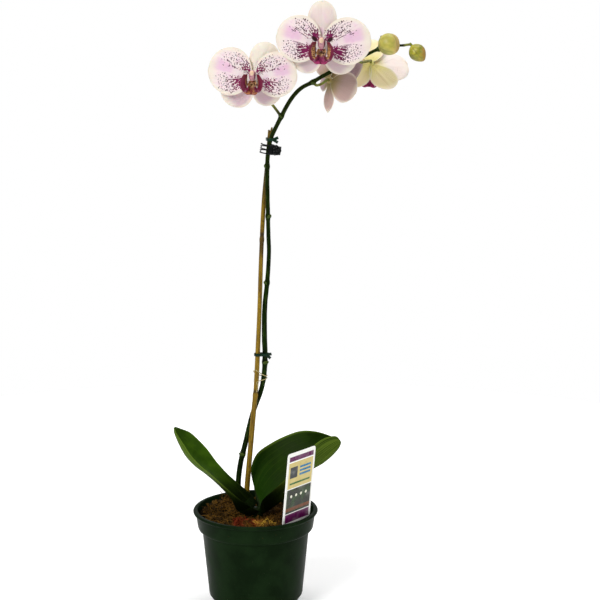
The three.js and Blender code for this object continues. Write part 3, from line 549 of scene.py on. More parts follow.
def in_finish(tree, body, given, grown):
    """The tree, ended with the body in its finish"""
    tree.links.new(geometry(tree, "SetMaterial", {"Geometry": body, "Material": given["Finish"]}), grown)
    return tree


def strand_tree(values):
    """Curled moss strands: short lines strewn over the surface, shaken out of line, with a round section"""
    tree, given, grown = growth("moss_strands", values)
    half = vector_calc(tree, "SCALE", (0.5, 0, 0), Scale=given["Length"])
    start = vector_calc(tree, "MULTIPLY", half, (-1, 1, 1))
    line = geometry(tree, "CurvePrimitiveLine", {"Start": start, "End": half})
    fine = geometry(tree, "ResampleCurve", {"Curve": line, "Count": 9})
    curled = shaken(tree, scattered(tree, given, fine, given["Tilt"]), 75.0, given["Curl"])
    curled = shaken(tree, curled, 210.0, given["Frizz"])
    return in_finish(tree, round_bar(tree, 3, curled, given["Thickness"]), given, grown)


def chip_tree(values):
    """Bark chips: flat blocks strewn over the surface, their corners knocked out of square"""
    tree, given, grown = growth("bark_chips", values)
    block = geometry(tree, "MeshCube",
                     {"Size": given["Size"], "Vertices X": 4, "Vertices Y": 3, "Vertices Z": 3})
    rough = shaken(tree, scattered(tree, given, block, 0.7), 260.0, given["Rough"])
    return in_finish(tree, rough, given, grown)


def grow(name, surface, tree, values):
    """The surface's mesh replaced with what the tree grows on it from those values"""
    piece = bpy.data.objects.new(name, surface.copy())
    bpy.context.scene.collection.objects.link(piece)
    modifier = piece.modifiers.new("growth", "NODES")
    modifier.node_group = tree
    for socket in tree.interface.items_tree:
        if socket.name in values:
            modifier[socket.identifier] = values[socket.name]
    plain_mesh(piece)
    return piece


def strewing_ground(radius):
    """The medium's top as an open sheet that strands and chips are strewn over"""
    steps, sides = 14, 48
    angles = all_round(sides)
    radii = np.linspace(radius, 0.02 * radius, steps)[:, None]
    x, y = radii * np.cos(angles), radii * np.sin(angles)
    points = np.stack([x, y, moss_top(x, y) + 0.3], -1).reshape(-1, 3) * MM
    mesh = bpy.data.meshes.new("ground")
    mesh.from_pydata(points.tolist(), [], wall_faces(steps, sides).tolist())
    return mesh


peat = grained("packed_moss", PEAT_DARK, PEAT_BROWN, (420, 5), (0.4, 0.7), 0.0018, Roughness=0.95,
               Specular_IOR_Level=0.05)
stands_for(build("moss_bed", [moss_bed(peat)]), "moss")
STRANDS["Finish"] = moss_finish("moss_strand", 0.1, 1.0)
CHIPS["Finish"] = moss_finish("bark_chip", 0.0, 0.7)
strands = grow("moss_strands", strewing_ground(STREWN_RADIUS["strands"]), strand_tree(STRANDS), STRANDS)
chips = grow("bark_chips", strewing_ground(STREWN_RADIUS["chips"]), chip_tree(CHIPS), CHIPS)
belongs(strands)
belongs(chips)
strands.data.shade_smooth()
chips.data.shade_flat()

# Bamboo cane
# A split-topped stick of thin bamboo, tan and streaked along its grain, with three slightly swollen joints.
# It is pushed down through the medium and leans with the stem.
CANE_ROUTE = [(-17.5, 19, 12), (-12, 15.5, 85), (-9.2, 13.2, 124), (-4.8, 10.6, 173), (-1.6, 8.4, 208),
              (0.9, 7, 234), (3, 6.4, 273), (5.3, 6.2, 326), (7, 6.2, 374), (9.9, 6.6, 428), (13.2, 6.9, 464),
              (16.9, 7.2, 503)]
CANE_RADIUS = 2.4
CANE_TAPER = 0.25
CANE_FOOT = 0.5
CANE_STEPS = 320
CANE_SIDES = 24
CANE_JOINTS = (0.168, 0.435, 0.767)
CANE_BORE = 0.95
CANE_NOTCH = 3.4
CANE_SLANT = 1.6
SPLIT_TURN = 0.5
SPLIT_ROWS = 6
BORE_DEPTH = 12
CANE_TAN = colour(146, 117, 23)
CANE_OCHRE = colour(98, 72, 8)
CANE_OLIVE = colour(92, 80, 22)
CANE_DARK = colour(48, 34, 12)


def minus(tree, *values):
    return calc(tree, "SUBTRACT", *values)


def size_of(tree, value):
    return calc(tree, "ABSOLUTE", value)


def through(points):
    """The smooth line through the points, as a function of 0 to 1 that gives each span an equal share"""
    points = np.array(points, float)
    points = np.vstack([2 * points[0] - points[1], points, 2 * points[-1] - points[-2]])
    gaps = np.sqrt(np.linalg.norm(np.diff(points, axis=0), axis=1))

    def place(t):
        s = np.clip(np.asarray(t, float), 0, 1) * (len(points) - 3)
        i = np.minimum(s.astype(int), len(points) - 4)
        w = (s - i)[..., None]
        a, b, c, d = (points[i + k] for k in range(4))
        g, h, k = (gaps[i + n][..., None] for n in range(3))
        leave = h * ((b - a) / g - (c - a) / (g + h) + (c - b) / h)
        reach = h * ((c - b) / h - (d - b) / (h + k) + (d - c) / k)
        square, cube = 3 * (c - b) - 2 * leave - reach, 2 * (b - c) + leave + reach
        return b + w * leave + w ** 2 * square + w ** 3 * cube

    return place


def by_length(points):
    """The same line as a function of the share of its length, and that length"""
    line = through(points)
    fine = np.linspace(0, 1, 1200)
    lengths = np.concatenate([[0], np.cumsum(np.linalg.norm(np.diff(line(fine), axis=0), axis=1))])
    return lambda s: line(np.interp(np.asarray(s, float) * lengths[-1], lengths, fine)), lengths[-1]


def unit(vectors):
    vectors = np.asarray(vectors, float)
    return vectors / np.linalg.norm(vectors, axis=-1, keepdims=True)


def ways_across(centres, first=(0.3, -0.9, 0.31)):
    """At each point of a line two directions across it, carried along without twist"""
    ways = unit(np.gradient(centres, axis=0))
    side = unit(np.cross(first, ways[0]))
    sides = []
    for way in ways:
        side = unit(side - way * (side @ way))
        sides.append(side)
    return np.array(sides), np.cross(ways, sides)


def tube_rings(points, radius, steps, sides):
    """Rings about the line through the points. The radius is a function of the share along and the angle."""
    place, _ = by_length(points)
    s = np.linspace(0, 1, steps + 1)
    centres = place(s)
    side, other = ways_across(centres)
    angle = all_round(sides)
    out = np.cos(angle)[:, None] * side[:, None] + np.sin(angle)[:, None] * other[:, None]
    return centres[:, None] + radius(s[:, None], angle[None, :])[..., None] * out


def cane_radius(s, angle):
    """Thicker at its foot, with a ridge over a groove at each joint, and not quite round"""
    ridge = sum(0.38 * np.exp(-((s - j) / 0.005) ** 2) - 0.16 * np.exp(-((s - j - 0.008) / 0.003) ** 2)
                for j in CANE_JOINTS)
    foot = CANE_FOOT * np.clip(1.6 - 2.5 * s, 0, 1)
    uneven = 0.05 * np.cos(5 * angle) + 0.04 * np.sin(2 * angle + 40 * s)
    return CANE_RADIUS - CANE_TAPER * s + foot + ridge + uneven


def read_mark(tree):
    """The place mark's vector and its three numbers"""
    vector = add(tree, "ShaderNodeAttribute", attribute_name="place").outputs["Vector"]
    return vector, *split(tree, vector)


def cane_finish():
    """Streaked tan with specks, blotches and dark joints, and weathered to olive under its top"""
    material, tree = new_finish("bamboo", Roughness=0.5, Specular_IOR_Level=0.2)
    where = own_place(tree)
    along = read_mark(tree)[2]
    streaks = cloud(tree, where, 900, 4, (1, 1, 0.03))
    blotches = cloud(tree, where, 45, 3, (1, 1, 0.5))
    specks = cloud(tree, where, 520, 3, (1, 1, 0.4))
    tan = tint(tree, fade(tree, streaks, 0.3, 0.7), CANE_OCHRE, CANE_TAN)
    weathered = times(tree, fade(tree, along, 0.79, 0.9), fade(tree, along, 0.93, 0.98, 1.0, 0.35))
    aged = tint(tree, weathered, tan, tint(tree, streaks, CANE_DARK, CANE_OLIVE))
    flecked = tint(tree, fade(tree, specks, 0.54, 0.66, 0.0, 0.45), aged, CANE_DARK)
    stained = tint(tree, fade(tree, blotches, 0.56, 0.74, 0.0, 0.75), flecked, CANE_DARK)
    for joint in CANE_JOINTS:
        away = size_of(tree, minus(tree, along, joint + 0.006))
        stained = tint(tree, fade(tree, away, 0.001, 0.006, 0.8, 0.0), stained, CANE_DARK)
    dress(tree, Base_Color=stained, Normal=relief(tree, streaks, 0.00025))
    return material


def cane_body(finish):
    """The stick, open at the top, where it has split into two prongs"""
    rings = tube_rings(CANE_ROUTE, cane_radius, CANE_STEPS, CANE_SIDES)
    facing = np.cos(all_round(CANE_SIDES) + SPLIT_TURN)
    notch = CANE_NOTCH * np.clip(1 - np.abs(facing) / 0.75, 0, 1) + CANE_SLANT * (1 + facing)
    way = unit(rings[-1].mean(0) - rings[-2].mean(0))
    drop = np.outer(notch, way)
    top = rings[-1] - drop
    for back in range(1, SPLIT_ROWS):
        rings[-back - 1] -= drop * (1 - back / SPLIT_ROWS)
    middle = rings[-1].mean(0)
    inner = middle + (rings[-1] - middle) * CANE_BORE / (CANE_RADIUS - CANE_TAPER)
    return {**lofted([*rings[:-1], top, inner - drop, inner - BORE_DEPTH * way]), "finish": finish}


cane = build("bamboo_stick", [cane_body(cane_finish())])
stands_for(cane, "bamboo_cane")

# Crown and leaves
# A short crown carries two thick leaves in a V. Each clasps it as a sheath, then opens into a glossy blade
# that is folded along its keel, with fine parallel veins, a groove down the middle painted darker as shade,
# and a margin that is paler, partly as a painted highlight where the edge catches the light.
CROWN_SHAPE = [(0, 62), (3.9, 62), (6.5, 72), (6.5, 99), (4.55, 106), (0, 106)]
CROWN_CORNER = 2
CROWN_PLACE = (1, 0, 0)
LEAF_THICKNESS = 1.9
LEAF_KEEL_ROUNDING = 0.02
SHEATH_END = 0.109
LEFT_LEAF = {
    "keel": [(-8, -6, 98), (-20, -9, 104.5), (-26.5, -7, 119), (-41, -4, 135), (-53, -1, 145.5),
             (-63, 2, 153), (-73, 4, 163), (-80, 6, 174), (-84.5, 8, 184), (-85, 8, 190)],
    "near": [(4, -10, 104), (-5, -16, 111), (-17, -18, 121), (-31, -19, 134), (-45, -19, 147),
             (-58, -17, 157), (-67, -13, 166), (-74, -7, 176), (-81, 1, 185), (-84.5, 7, 190)],
    "far": [(2, 3, 110.5), (-4, 4, 118), (-14, 8, 125), (-28, 12, 136.5), (-40.5, 17, 149.5),
            (-51, 20, 163.5), (-61, 20, 174), (-70, 17, 182.5), (-77.5, 13, 187), (-84, 9, 191)],
    "bulge": 0.07, "upper": -1,
}
RIGHT_LEAF = {
    "keel": [(3, 1, 96), (10, -1.5, 98), (20, 1, 103), (34, 5, 112.5), (49, 9, 127.5), (61, 11, 140.5),
             (72, 12, 146.5), (81.5, 11, 155.5), (88, 9, 166), (89.5, 8, 174.5)],
    "near": [(5, -7, 109), (8, -11, 117), (19, -11, 128), (31, -9, 139), (43, -6, 153), (55, -4, 166),
             (64, -2, 175), (74, 1, 181), (84, 4, 182), (89.5, 7.5, 175.5)],
    "far": [(0, 7, 114), (-2, 13, 124), (-5, 22, 139), (1, 30, 154.5), (15, 35, 165), (30, 36, 173),
            (47, 34, 179), (62, 28, 180), (76, 18, 179), (89.5, 8.5, 176)],
    "bulge": 0.05, "upper": 1,
}
# The first colour of each is its root's; the older leaf's is near-black, painted shade at the crown
OLD_LEAF = (colour(4, 10, 1), colour(38, 64, 8), colour(56, 86, 12))
NEW_LEAF = (colour(22, 50, 4), colour(16, 34, 2), colour(26, 48, 4))
# Painted shade: the groove down a leaf's keel, and the lighter green of the sheath
LEAF_PAINTED_SHADE = colour(12, 30, 2)
LEAF_UNDER = colour(80, 100, 30)
# Pale yellow-green for the veins and the margin; on the margin it is partly a painted highlight
LEAF_PALE_AND_HIGHLIGHT = colour(100, 124, 40)
LEAF_SHEEN = (0.8, 1.0, 0.5, 1)
LEAF_IOR = 1.22
# Near-black green: painted shade on the crown, the sheaths and the leaves' roots
SHEATH_PAINTED_SHADE = colour(4, 10, 1)


def leaf_surface(keel, near, far, bulge):
    """A blade between its edges, folded at its keel and hollow on both sides of it, as a function of the
    share along it and of where across it, from -1 to 1"""
    middle, front, back = through(keel), through(near), through(far)

    def place(t, v):
        k = middle(t)
        to_far, to_near = back(t) - k, front(t) - k
        root = np.sqrt(v * v + LEAF_KEEL_ROUNDING)
        hollow = bulge * np.linalg.norm(to_far - to_near, axis=-1) * np.sin(np.pi * np.minimum(1, np.abs(v)))
        hollow = hollow + 0.5 * np.sin(11 * t + 2 * v) * v * v
        spread = to_far * (root + v)[..., None] / 2 + to_near * (root - v)[..., None] / 2
        return k + spread - unit(to_far + to_near) * hollow[..., None]

    return place


def blade(surface, rows, columns, depth):
    """A closed sheet about a surface of t along it and v across it. Its place mark is v, t, and 1 on its
    front or -1 on its back. Its depth is a function of both."""
    step = 0.001
    t, v = np.meshgrid(rows, columns, indexing="ij")
    inner = np.clip(t, 2 * step, 1 - 2 * step)
    along = surface(inner + step, v) - surface(inner - step, v)
    across = surface(inner, v + step) - surface(inner, v - step)
    half = unit(np.cross(along, across)) * depth(t, v)[..., None] / 2
    points = np.stack([surface(t, v) + half, surface(t, v) - half])
    top, low = np.arange(2 * t.size).reshape(2, *t.shape)
    quads = [
        (top[:-1, :-1], top[1:, :-1], top[1:, 1:], top[:-1, 1:]),
        (low[:-1, :-1], low[:-1, 1:], low[1:, 1:], low[1:, :-1]),
        (top[:-1, 0], low[:-1, 0], low[1:, 0], top[1:, 0]),
        (top[:-1, -1], top[1:, -1], low[1:, -1], low[:-1, -1]),
        (top[0, :-1], top[0, 1:], low[0, 1:], low[0, :-1]),
        (top[-1, :-1], low[-1, :-1], low[-1, 1:], top[-1, 1:]),
    ]
    faces = np.vstack([np.stack(quad, -1).reshape(-1, 4) for quad in quads])
    side = np.stack([np.ones(t.shape), -np.ones(t.shape)])
    place = np.stack([np.stack([v, v]), np.stack([t, t]), side], -1)
    return {"points": points.reshape(-1, 3), "faces": faces.tolist(), "place": place.reshape(-1, 3)}


def close_at_ends(low, high, count):
    """Numbers from low to high that lie closer together near both"""
    return low + (high - low) * (1 - np.cos(np.linspace(0, np.pi, count))) / 2


def leaf_depth(t, v):
    taper = (1 - 0.45 * np.abs(v)) * (1 - 0.35 * np.clip((t - 0.6) / 0.4, 0, 1))
    return LEAF_THICKNESS * taper * (0.25 + 0.75 * np.sqrt(1 - 0.999 * np.abs(v) ** 10))


def leaf_sheet(leaf, rows, finish):
    shape = {key: leaf[key] for key in ("keel", "near", "far", "bulge")}
    sheet = blade(leaf_surface(**shape), rows, close_at_ends(-1, 1, 41), leaf_depth)
    sheet["place"][:, 2] *= leaf["upper"]
    return {**sheet, "finish": finish}


def leaf_finish(name, greens):
    """A leaf in three greens: its root's, which on the older leaf is near-black as painted shade, and two
    that mottle the blade
    """
    root, deep, fresh = greens
    material, tree = new_finish(name, IOR=LEAF_IOR, Specular_IOR_Level=0.12, Specular_Tint=LEAF_SHEEN)
    where = own_place(tree)
    grid, across, along, side = read_mark(tree)
    away = size_of(tree, across)
    upper = fade(tree, side, -0.2, 0.2)
    veins = cloud(tree, grid, 30, 3, (1.6, 0.06, 0))
    mottle = cloud(tree, where, 70, 4)
    green = tint(tree, fade(tree, mottle, 0.3, 0.75), deep, fresh)
    grown = calc(tree, "POWER", fade(tree, along, 0.1, 0.46), 2.0)
    based = tint(tree, grown, root, green)
    lined = tint(tree, times(tree, fade(tree, veins, 0.45, 0.75), 0.06), based, LEAF_PALE_AND_HIGHLIGHT)
    # Painted shade darkens the groove along the keel
    groove_shaded = tint(tree, fade(tree, away, 0.0, 0.07, 0.4, 0.0), lined, LEAF_PAINTED_SHADE)
    beneath = tint(tree, fade(tree, veins, 0.35, 0.7), LEAF_UNDER, green)
    # Towards the root the underside is painted near-black as shade
    faced = tint(tree, upper, tint(tree, grown, SHEATH_PAINTED_SHADE, beneath), groove_shaded)
    # The margin is paler: partly its own pale green, partly a painted highlight where the edge catches the
    # light
    rim = times(tree, fade(tree, away, 0.94, 1.0, 0.0, 0.6), grown)
    edged = tint(tree, rim, faced, LEAF_PALE_AND_HIGHLIGHT)
    gloss = plus(tree, fade(tree, mottle, 0.3, 0.7, 0.34, 0.46), fade(tree, upper, 0.0, 1.0, 0.12, 0.0))
    dress(tree, Base_Color=edged, Roughness=gloss, Normal=relief(tree, veins, 0.00006))
    return material


def sheath_finish():
    material, tree = new_finish("sheath", Roughness=0.5, Specular_IOR_Level=0.1, Specular_Tint=LEAF_SHEEN)
    veins = cloud(tree, read_mark(tree)[0], 30, 3, (1.6, 0.2, 0))
    stain = cloud(tree, own_place(tree), 160, 4)
    # The sheath is painted near-black as shade, mottled between two painted-shade greens and veined paler
    green = tint(tree, fade(tree, stain, 0.4, 0.7), SHEATH_PAINTED_SHADE, LEAF_PAINTED_SHADE)
    dress(tree, Base_Color=tint(tree, fade(tree, veins, 0.5, 0.8, 0.0, 0.3), green, OLD_LEAF[1]),
          Normal=relief(tree, veins, 0.0002))
    return material


SHEATH_FINISH = sheath_finish()
leaf_rows = close_at_ends(SHEATH_END, 0.992, 130)
for name, leaf, greens in (("left", LEFT_LEAF, OLD_LEAF), ("right", RIGHT_LEAF, NEW_LEAF)):
    look = leaf_finish("leaf_" + name, greens)
    piece = build("leaf_blade_" + name, [leaf_sheet(leaf, leaf_rows, look)], crease=70)
    stands_for(piece, "leaf_" + name)
stub = turned(rounded(CROWN_SHAPE, CROWN_CORNER), 40)
stub["points"] += CROWN_PLACE
sheath_rows = np.linspace(0, SHEATH_END, 14)
sheaths = [leaf_sheet(leaf, sheath_rows, SHEATH_FINISH) for leaf in (LEFT_LEAF, RIGHT_LEAF)]
crown = build("crown_stem", [{**stub, "finish": SHEATH_FINISH}, *sheaths], crease=70)
stands_for(crown, "crown")

# Flower stem
# One round green stem rises from beside the crown, is led up the cane and arches over under its blooms. Small
# scales clasp its joints, and a smooth short stalk leads from a joint to each bloom and bud.
STEM_ROUTE = [
    (-5.4, 7.4, 99.5), (-9.4, 7.4, 102), (-14.9, 8.6, 106.5), (-18, 13, 115), (-18.6, 16, 127),
    (-16.6, 16.2, 146), (-10.6, 15.6, 172), (-3, 15.2, 203), (6.8, 12.4, 232), (9.7, 9.8, 251),
    (10.4, 7.4, 269), (9.9, 6.2, 289), (10.4, 5.4, 319), (13.2, 5, 347), (14.9, 4.4, 375), (14.5, 3.2, 394),
    (14, 1.2, 422), (13.6, 0.4, 457), (14.4, 0.2, 478), (17.4, -0.4, 492), (25.8, -1.4, 510), (38.6, -5, 533),
    (48.2, -8, 543), (57.5, -10, 548), (79.7, -14, 560.5), (104.7, -18, 572), (123, -20, 581),
    (139, -22, 584.6), (149, -22, 585),
]
STEM_JOINTS = [
    {"place": (-14, 16, 159), "towards": (-0.3, -1, 0.2), "long": 3.4, "clasp": 1.2},
    {"place": (10, 9, 260), "towards": (0.5, -1, 0), "long": 3.4, "clasp": 1.2},
    {"place": (12.9, 5, 344), "towards": (-1, -0.2, 0.2), "long": 3.4, "clasp": 1.3},
    {"place": (13.6, 0.4, 464), "towards": (-1, 0.1, 0), "long": 3.8, "clasp": 1.3},
    {"place": (28, -1.6, 514), "towards": (-0.8, -0.2, 0.6), "long": 2.2},
    {"place": (59, -10.2, 548.8), "towards": (0.4, 0.3, -0.8)},
    {"place": (84, -15, 562), "towards": (-0.4, -0.6, 0.7)},
    {"place": (102, -17.6, 571), "towards": (0.4, 0.4, -0.8)},
    {"place": (124, -20, 581.3), "towards": (-0.2, -0.8, 0.5)},
    {"place": (14.2, 1.8, 413), "towards": (0.9, -0.7, 0), "long": 3.8, "clasp": 1.2},
]
STEM_SHAPE = {"radius": 2.9, "narrows": 0.75, "tip": 0.95, "joint": 0.6, "joint_reach": 2.6}
STEM_STOUT = {"share": 0.36, "spread": 0.08, "more": 0.45}
STEM_STEPS = 420
STEM_TIP = {"share": 0.965, "route": [(0, 0, 0), (5, -0.5, 2), (10.5, -1, 4.4)]}
STALK_RADIUS = 1.3
BUD_STALK_RADIUS = 1.2
STALK_STEPS = 44
SCALE = {"long": 4.4, "clasp": 2.0, "below": 0.36, "bulge": 0.85}
STEM_TUBE = {"Sides": 20, "Ripple": 0.0003}
STALK_TUBE = {"Sides": 16, "Ripple": 0.0002}
STEM_GREEN = colour(16, 34, 3)
STEM_DARK = colour(6, 15, 3)
STEM_OLIVE = colour(28, 38, 8)
STEM_STRIPE = colour(62, 84, 28)
STALK_GREEN = colour(128, 138, 54)
STALK_BROWN = colour(100, 98, 38)
SCALE_BROWN = colour(66, 78, 24)
SCALE_GREEN = colour(40, 64, 14)

stem_line, stem_length = by_length(STEM_ROUTE)
fine_stem = stem_line(np.linspace(0, 1, 2001))
for joint in STEM_JOINTS:
    joint["share"] = np.argmin(np.linalg.norm(fine_stem - joint["place"], axis=1)) / 2000


def line_sheet(name, lines):
    """Lines in millimetres as one mesh of edges. A line has its points and, at each, how thick its tube is to
    be and the share along it, which the marks thick and place carry."""
    counts = [len(line["points"]) for line in lines]
    starts = np.cumsum([0] + counts)
    edges = [(start + i, start + i + 1) for start, count in zip(starts, counts) for i in range(count - 1)]
    mesh = bpy.data.meshes.new(name)
    mesh.from_pydata((np.vstack([line["points"] for line in lines]) * MM).tolist(), edges, [])
    along = np.concatenate([line["along"] for line in lines])
    thick = mesh.attributes.new("thick", "FLOAT", "POINT")
    thick.data.foreach_set("value", np.concatenate([line["thick"] for line in lines]) * MM)
    place = mesh.attributes.new("place", "FLOAT_VECTOR", "POINT")
    place.data.foreach_set("vector", np.column_stack([0 * along, along, 0 * along]).ravel())
    return mesh


def stalk_line(points, radius, steps=STALK_STEPS):
    """A line through the points, with its thickness given as a function of the share along it"""
    along = np.linspace(0, 1, steps + 1)
    return {"points": by_length(points)[0](along), "along": along, "thick": radius(along)}


def tube_tree(name, values):
    """A round tube along each line of the surface, as thick as its mark says, its skin slightly uneven"""
    tree, given, grown = growth(name, values)
    line = geometry(tree, "MeshToCurve", {"Mesh": given["Surface"]})
    thick = geometry(tree, "InputNamedAttribute", {"Name": "thick"}, data_type="FLOAT")
    body = shaken(tree, round_bar(tree, given["Sides"], line, 1.0, Scale=thick), 140.0, given["Ripple"])
    return in_finish(tree, geometry(tree, "RealizeInstances", {0: body}), given, grown)


def tubes(name, lines, values):
    piece = grow(name, line_sheet(name, lines), tube_tree(name, values), values)
    piece.data.shade_smooth()
    piece.data.set_sharp_from_angle(angle=math.radians(60))
    return piece


def stem_radius(s):
    """Thinner up the cane and again at the tip, swollen at each joint and stouter part of the way up"""
    half = np.clip(s / 0.5, 0, 1)
    plain = STEM_SHAPE["radius"] - STEM_SHAPE["narrows"] * half * half * (3 - 2 * half)
    plain = plain - STEM_SHAPE["tip"] * np.clip((s - 0.72) / 0.28, 0, 1) ** 2
    aways = [(s - joint["share"]) * stem_length / STEM_SHAPE["joint_reach"] for joint in STEM_JOINTS]
    swell = sum(STEM_SHAPE["joint"] * np.exp(-away ** 2) for away in aways)
    stout = STEM_STOUT["more"] * np.exp(-((s - STEM_STOUT["share"]) / STEM_STOUT["spread"]) ** 2)
    return plain + swell + stout


def stalk_thickness(radius):
    """Thinnest at the middle of the stalk, as a function of the share along it"""
    return lambda s: radius * (1.15 - 0.5 * s + 0.5 * s * s)


def tip_radius(s, angle):
    return 1.3 - 0.9 * s * s + 0 * angle


def scale_depth(t, v):
    return 0.42 - 0.2 * t - 0.12 * np.abs(v)


def scale_sheet(joint, finish):
    """A pointed scale that clasps the stem at its joint, over a sleeping bud"""
    shape = {**SCALE, **joint}
    share = joint["share"]
    middle = stem_line(share)
    way = unit(stem_line(share + 0.004) - stem_line(share - 0.004))
    out = unit(np.array(joint["towards"]) - way * np.dot(joint["towards"], way))
    side = np.cross(way, out)
    radius = stem_radius(share)

    def place(t, v):
        turn = v * shape["clasp"] * np.sqrt(np.clip(1 - t ** 3, 0, 1) * 0.98 + 0.0004)
        away = radius - 0.15 + shape["bulge"] * np.sin(np.pi * t) - 0.1 * t ** 3
        around = np.cos(turn)[..., None] * out + np.sin(turn)[..., None] * side
        return middle + way * (shape["long"] * (t - shape["below"]))[..., None] + around * away[..., None]

    return {**blade(place, close_at_ends(0, 1, 16), close_at_ends(-1, 1, 17), scale_depth), "finish": finish}


def stem_finish():
    material, tree = new_finish("stem", IOR=LEAF_IOR, Specular_IOR_Level=0.2, Specular_Tint=LEAF_SHEEN)
    where = own_place(tree)
    along = read_mark(tree)[2]
    streaks = cloud(tree, where, 600, 3, (1, 1, 0.12))
    mottle = cloud(tree, where, 60, 3)
    low = tint(tree, fade(tree, mottle, 0.3, 0.7), STEM_DARK, STEM_GREEN)
    high = tint(tree, fade(tree, mottle, 0.5, 0.8), STEM_OLIVE, STEM_GREEN)
    green = tint(tree, fade(tree, along, 0.55, 0.8), low, high)
    striped = tint(tree, times(tree, fade(tree, streaks, 0.5, 0.75), 0.5), green, STEM_STRIPE)
    dress(tree, Base_Color=striped, Roughness=fade(tree, mottle, 0.3, 0.7, 0.36, 0.5),
          Normal=relief(tree, streaks, 0.0002))
    return material


def stalk_finish():
    material, tree = new_finish("stalk", Roughness=0.45, Specular_IOR_Level=0.2)
    mottle = cloud(tree, own_place(tree), 260, 3)
    green = tint(tree, fade(tree, mottle, 0.35, 0.7), STALK_BROWN, STALK_GREEN)
    rooted = fade(tree, read_mark(tree)[2], 0.0, 0.25)
    dress(tree, Base_Color=tint(tree, rooted, STEM_OLIVE, green), Normal=relief(tree, mottle, 0.0002))
    return material


def scale_finish():
    material, tree = new_finish("stem_scale", Roughness=0.6, Specular_IOR_Level=0.15)
    veins = cloud(tree, own_place(tree), 1100, 2, (1, 1, 0.15))
    dry = plus(tree, times(tree, veins, 0.5), fade(tree, read_mark(tree)[2], 0.2, 0.9, 0.0, 0.6))
    dress(tree, Base_Color=tint(tree, dry, SCALE_GREEN, SCALE_BROWN), Normal=relief(tree, veins, 0.0002))
    return material


# A bloom's crest, laterals and petals are given by their angle, length and width, and how sharply they end
BLOOMS = [
    {"name": "bloom_1", "centre": (1, -30, 554), "faces": (-0.12, -0.98, -0.1), "up": (0.03, 0, 1),
     "size": 0.99, "open": 0, "curl": 0, "crest": (63, 35, 29), "lateral": [(-50, 31, 29), (221, 38, 34)],
     "petal": [(9, 41, 45), (167, 43.5, 48)], "lip": 0.92, "joint": 4,
     "stalk": [(16, -3, 530), (3, -14, 547)]},
    {"name": "bloom_2", "centre": (68, -48, 585.5), "faces": (-0.1, -0.98, -0.12), "up": (0.03, 0, 1),
     "size": 1, "open": 0, "curl": 0, "crest": (92, 39.8, 28), "lateral": [(-38, 35, 31), (221, 33.5, 31)],
     "petal": [(11, 45, 46), (166, 43, 46)], "lip": 1, "joint": 6,
     "stalk": [(78, -24, 574), (70, -36, 583)]},
    {"name": "bloom_3", "centre": (76, 2.5, 550), "faces": (0.55, 0.8, -0.2), "up": (-0.4, 0.25, 0.87),
     "size": 0.81, "open": 0.34, "curl": 0.5, "crest": (90, 40.5, 31),
     "lateral": [(-64, 37, 15, 0.8), (228, 39, 38)], "petal": [(42, 28, 32), (158, 43, 45)], "lip": 0.65,
     "joint": 5, "stalk": [(63, -8, 545.5), (68.5, -4.5, 547)]},
    {"name": "bloom_4", "centre": (118, 23, 565.5), "faces": (-0.05, 0.72, -0.68), "up": (0.05, 0.68, 0.72),
     "size": 0.88, "open": 0.3, "curl": 0, "crest": (90, 40.5, 31), "lateral": [(-52, 40, 31), (232, 40, 31)],
     "petal": [(14, 43, 45), (166, 43, 45)], "lip": 1.15, "joint": 7,
     "stalk": [(107.5, -7, 568), (114, 7, 568.5)]},
]
BUDS = [
    {"name": "bud_large", "centre": (133.5, -35, 586), "axis": (0.52, -0.68, -0.52), "length": 23.5,
     "width": 21.5, "stalk": [(124.5, -20.8, 583), (125, -22, 586.5), (126.4, -24, 590.4)]},
    {"name": "bud_small", "centre": (162, -25, 577.5), "axis": (0.62, -0.25, -0.75), "length": 19,
     "width": 16.5, "stalk": [(147, -22, 584.9), (151.5, -22.5, 585.6), (154.5, -22.8, 586)]},
]
STEM_TUBE["Finish"] = stem_finish()
STALK_TUBE["Finish"] = stalk_finish()
SCALE_FINISH = scale_finish()
stem = tubes("flower_stem", [stalk_line(STEM_ROUTE, stem_radius, STEM_STEPS)], STEM_TUBE)
stands_for(stem, "flower_spike")
stalks = []
for bloom in BLOOMS:
    centre, back = np.array(bloom["centre"]), unit(bloom["faces"])
    start = stem_line(STEM_JOINTS[bloom["joint"]]["share"])
    route = [start, *bloom["stalk"], centre - 4 * back, centre - (1.7 * bloom["size"] + 0.75) * back]
    stalks.append(stalk_line(route, stalk_thickness(STALK_RADIUS)))
for bud in BUDS:
    centre, back, reach = np.array(bud["centre"]), unit(bud["axis"]), bud["length"] / 2
    route = [*bud["stalk"], centre - (reach + 2.5) * back, centre - (reach + 0.35) * back]
    stalks.append(stalk_line(route, stalk_thickness(BUD_STALK_RADIUS)))
scales = [scale_sheet(joint, SCALE_FINISH) for joint in STEM_JOINTS]
tip_route = stem_line(STEM_TIP["share"]) + np.array(STEM_TIP["route"])
scales.append({**lofted(tube_rings(tip_route, tip_radius, 20, 12)), "finish": STEM_TUBE["Finish"]})
belongs(tubes("bloom_stalks", stalks, STALK_TUBE))
belongs(build("stem_scales", scales, crease=60))

